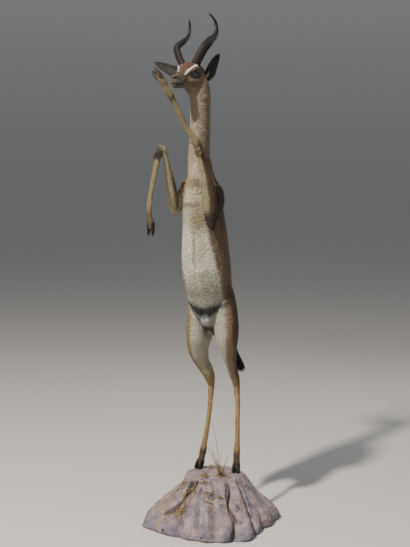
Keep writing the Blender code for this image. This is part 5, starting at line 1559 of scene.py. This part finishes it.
def bareSkin(points):
    bare = np.zeros(len(points), bool)
    local = toFrame(headFrame.inverted(), points)
    for mirror in (1, -1):
        centre, aim, along, up = eyeAxes(mirror)
        offset = local - centre
        u = offset @ along
        v = offset @ up + eyes["tilt"] * u
        almond = np.sqrt((u / eyes["opening"][0]) ** 2 + (v / eyes["opening"][1]) ** 2)
        bare |= (almond < 1.30) & (unit(offset) @ aim > 0) & (np.linalg.norm(offset, axis=1) < 0.04)
        nose = (local - np.array(head["nostril"]) * [mirror, 1, 1]) / (np.array(head["nostrilSize"]) * 1.3)
        bare |= (nose**2).sum(1) < 1
        low, high = (level(b, o * mirror, u) for b, o, u, _ in (horns["line"][0], horns["line"][2]))
        axis = unit(high - low)
        away = points - low
        side = away - (away @ axis)[:, None] * axis
        bare |= (np.linalg.norm(side, axis=1) < 0.0150) & (np.linalg.norm(away, axis=1) < 0.06)
    for foot, (coronet, way, toe, length, standing) in hooves.items():
        away = points - np.array(coronet)
        bare |= (away @ unit(np.array(way)) > 0.001) & (np.linalg.norm(away, axis=1) < 0.05)
    return bare


def growTufts():
    middle = sizes[triangles].mean(1)
    wanted = areas * middle[:, 3] / (middle[:, 0] * middle[:, 1] * 2 * 0.55)
    number = np.floor(wanted + rng.random(len(wanted))).astype(int)
    picked = np.repeat(np.arange(len(triangles)), number)
    a, b = rng.random(len(picked)), rng.random(len(picked))
    a, b = np.where(a + b > 1, 1 - a, a), np.where(a + b > 1, 1 - b, b)
    shares3 = np.stack([1 - a - b, a, b], 1)[..., None]
    tri = triangles[picked]

    def blend(values):
        return (values[tri] * shares3).sum(1)

    roots = blend(hidePoints)
    keep = ~bareSkin(roots)
    tri, shares3, roots = tri[keep], shares3[keep], roots[keep]
    return tri, shares3, roots


tri, shares3, roots = growTufts()


def blend(values):
    return (values[tri] * (shares3 if values.ndim > 1 else shares3[..., 0])).sum(1)


ups = unit(blend(hideNormals))
way = blend(lie)
way = unit(way - ups * (way * ups).sum(1)[:, None])
aside = np.cross(ups, way)
size = blend(sizes)
tint = blend(color) * (1 + rng.normal(0, 0.04, len(roots)))[:, None]
limbOf = blend(weights).argmax(1)
earOf = blend(earMask) > 0.5
sway = rng.normal(0, 0.10, len(roots))
way = unit(way + aside * sway[:, None])
length = size[:, 0] * rng.uniform(0.8, 1.25, len(roots))
lift = size[:, 2] * rng.uniform(0.7, 1.35, len(roots))
curl = rng.normal(0, 0.10, len(roots)) * length
paths = np.stack([
    roots - ups * (0.35 * lift)[:, None],
    roots + way * (0.42 * length)[:, None] + ups * (0.75 * lift)[:, None],
    roots + way * length[:, None] + ups * lift[:, None] + aside * curl[:, None],
], 1)
widths = size[:, 1, None] * np.array([0.7, 1.0, 0.2]) * rng.uniform(0.85, 1.2, len(roots))[:, None]
# the unwrap: each limb is a tile, with the turn round it across and the share along it upward
shareAt, sideAt, deepAt = blend(shares), blend(sides), blend(deeps)
rowIndex = np.arange(len(roots))
turnAt = (np.arctan2(deepAt[rowIndex, limbOf], sideAt[rowIndex, limbOf]) / (2 * math.pi)) % 1
tile = limbOf + np.where(earOf, 1, 0)
patches = np.stack([
    (tile % 4 + 0.04 + 0.92 * turnAt) / 4,
    (tile // 4 + 0.04 + 0.92 * shareAt[rowIndex, limbOf]) / 4,
], 1)
halves = {
    "coatBreast": deepAt[:, 0] > 0, "coatBack": deepAt[:, 0] <= 0,
    "coatHeadLeft": sideAt[:, limbNames.index("head")] > 0, "coatHeadRight": sideAt[:, limbNames.index("head")] <= 0,
}
for name, members in coatPieces.items():
    chosen = np.isin(limbOf, [limbNames.index(member) for member in members])
    if name in halves:
        chosen &= halves[name]
    mesh = strandMesh(name, paths[chosen], widths[chosen], 0.45, ups[chosen], tint[chosen], patches[chosen])
    pieceFrom(name, mesh, coatHair)
    print(name, int(chosen.sum()), "tufts")


# Long hair: the black tail tuft and the knee tufts

longHair = {
    "tail": {"count": 1000, "length": (0.062, 0.092), "width": 0.0012, "tone": "tailHair"},
    "knees": {"count": 260, "length": (0.014, 0.024), "width": 0.0008, "tone": ("kneeHair", "foreCannon")},
}
knees = [((-0.143, -0.275, 1.722), (-0.35, -0.85, 0.4), (-0.05, -0.35, -1)),
         ((0.038, -0.262, 1.735), (-0.35, -0.9, 0.1), (0.15, 0.1, -1))]


def hairLocks(name, roots, ways, bends, lengths, width, tone):
    count = len(roots)
    t = np.linspace(0, 1, 6)[None, :, None]
    paths = roots[:, None] + ways[:, None] * lengths[:, None, None] * t + bends[:, None] * lengths[:, None, None] * t * t
    widths = width * np.sin(math.pi * (0.25 + 0.70 * t[..., 0])) ** 0.7 * rng.uniform(0.7, 1.3, (count, 1))
    tint = np.repeat(coatColor[tone][None], count, 0) * rng.uniform(0.7, 1.5, (count, 1))
    spots = np.stack([rng.uniform(0.80, 0.98, count), rng.uniform(0.80, 0.98, count)], 1)
    ups = unit(np.cross(ways, rng.normal(0, 1, (count, 3))))
    mesh = strandMesh(name, paths, widths, 0.6, ups, tint, spots)
    return pieceFrom(name, mesh, coatHair)


settings = longHair["tail"]
tailRows = np.array(limbs["tail"]["rows"])
share = rng.random(settings["count"])
roots = tailRows[-2, :3] + (tailRows[-1, :3] - tailRows[-2, :3]) * (0.65 + 0.45 * share[:, None])
turn = rng.uniform(0, 2 * math.pi, settings["count"])
out = np.stack([np.cos(turn), np.sin(turn), np.zeros_like(turn)], 1)
ways = unit(np.array([0.26, 0.10, -1]) + out * rng.uniform(0.02, 0.30, settings["count"])[:, None])
lengths = rng.uniform(*settings["length"], settings["count"])
hairLocks("tailTuft", roots + out * 0.004, ways, -out * 0.05, lengths, settings["width"], settings["tone"])
settings = longHair["knees"]
for i, (carpus, fore, down) in enumerate(knees):
    fore, down = unit(np.array(fore)), unit(np.array(down, float))
    across = np.cross(fore, down)
    count = settings["count"]
    spread = rng.normal(0, 0.5, count)
    roots = np.array(carpus) + across * (0.011 * spread)[:, None] - fore * 0.006 + down * rng.uniform(-0.010, 0.016, count)[:, None]
    ways = unit(down * 0.8 + fore * rng.uniform(0.2, 0.6, count)[:, None] + across * (0.25 * spread)[:, None])
    bends = np.repeat((down * 0.25)[None], count, 0)
    lengths = rng.uniform(*settings["length"], count)
    hairLocks("kneeTuft" + ("Right", "Left")[i], roots, ways, bends, lengths, settings["width"], settings["tone"][i])
print("coat done")


# Studio: a pale floor, soft lights and the camera

studio = {
    "floor": "#c2c1be", "sky": "#e6e8ec", "skyPower": 0.30,
    "camera": {"turn": 22, "distance": 4.4, "height": 1.5, "tilt": 4.27, "aside": 6 / 952, "focal": 952 / 547 * 36},
    # place, aim, size, power
    "key": ((-0.85, -4.20, 5.60), (0, 0, 1.3), 0.40, 820, "#fff3e4"),
    "fill": ((3.4, -2.6, 2.0), (0, 0, 1.2), 2.8, 16, "#eef3ff"),
    "back": ((0.6, 3.4, 3.6), (0, 0, 1.5), 2.4, 40, "#ffffff"),
}


def paperFloor():  # matt studio paper
    material, tree, shader = newMaterial("mattStudioPaper")
    shader.inputs["Base Color"].default_value = (*linear(studio["floor"]), 1)
    shader.inputs["Roughness"].default_value = 0.95
    return material


bm = bmesh.new()
bmesh.ops.create_circle(bm, cap_ends=True, segments=64, radius=300)
floorMesh = bpy.data.meshes.new("floor")
bm.to_mesh(floorMesh)
bm.free()
floorMesh.materials.append(paperFloor())
floor = bpy.data.objects.new("floor", floorMesh)
scene.collection.objects.link(floor)

world = bpy.data.worlds.new("softRoom")  # darker at the horizon, where it meets the floor without a line
world.use_nodes = True
tree = world.node_tree
around = addNode(tree, "ShaderNodeTexCoord")
split = addNode(tree, "ShaderNodeSeparateXYZ", {"Vector": around.outputs["Generated"]})
climb = addNode(tree, "ShaderNodeMapRange", {"Value": split.outputs["Z"], "From Min": 0.0, "From Max": 0.40},
                interpolation_type="SMOOTHSTEP")
sky = linear(studio["sky"])
low = [1.04 * a * b for a, b in zip(sky, linear(studio["floor"]))]
mixed = addNode(tree, "ShaderNodeMix", {"Factor": climb.outputs["Result"]}, data_type="RGBA")
mixed.inputs[6].default_value = (*low, 1)
mixed.inputs[7].default_value = (*sky, 1)
tree.links.new(mixed.outputs[2], tree.nodes["Background"].inputs["Color"])
tree.nodes["Background"].inputs["Strength"].default_value = studio["skyPower"]
scene.world = world

for name in ("key", "fill", "back"):
    place, aim, size, power, tone = studio[name]
    lamp = bpy.data.lights.new(name, "AREA")
    lamp.shape = "DISK"
    lamp.size, lamp.energy, lamp.color = size, power, linear(tone)
    light = bpy.data.objects.new(name, lamp)
    light.location = place
    light.rotation_euler = (Vector(aim) - Vector(place)).to_track_quat("-Z", "Y").to_euler()
    scene.collection.objects.link(light)

cameraData = bpy.data.cameras.new("camera")
cameraData.sensor_width = 36
cameraData.lens = studio["camera"]["focal"]
camera = bpy.data.objects.new("camera", cameraData)
turn = math.radians(studio["camera"]["turn"])
distance = studio["camera"]["distance"]
camera.location = (math.sin(turn) * distance, -math.cos(turn) * distance, studio["camera"]["height"])
look = Vector((-math.sin(turn), math.cos(turn), 0)) - Vector((math.cos(turn), math.sin(turn), 0)) * studio["camera"]["aside"]
look.z = -math.tan(math.radians(studio["camera"]["tilt"]))
camera.rotation_euler = look.to_track_quat("-Z", "Y").to_euler()
scene.collection.objects.link(camera)
scene.camera = camera
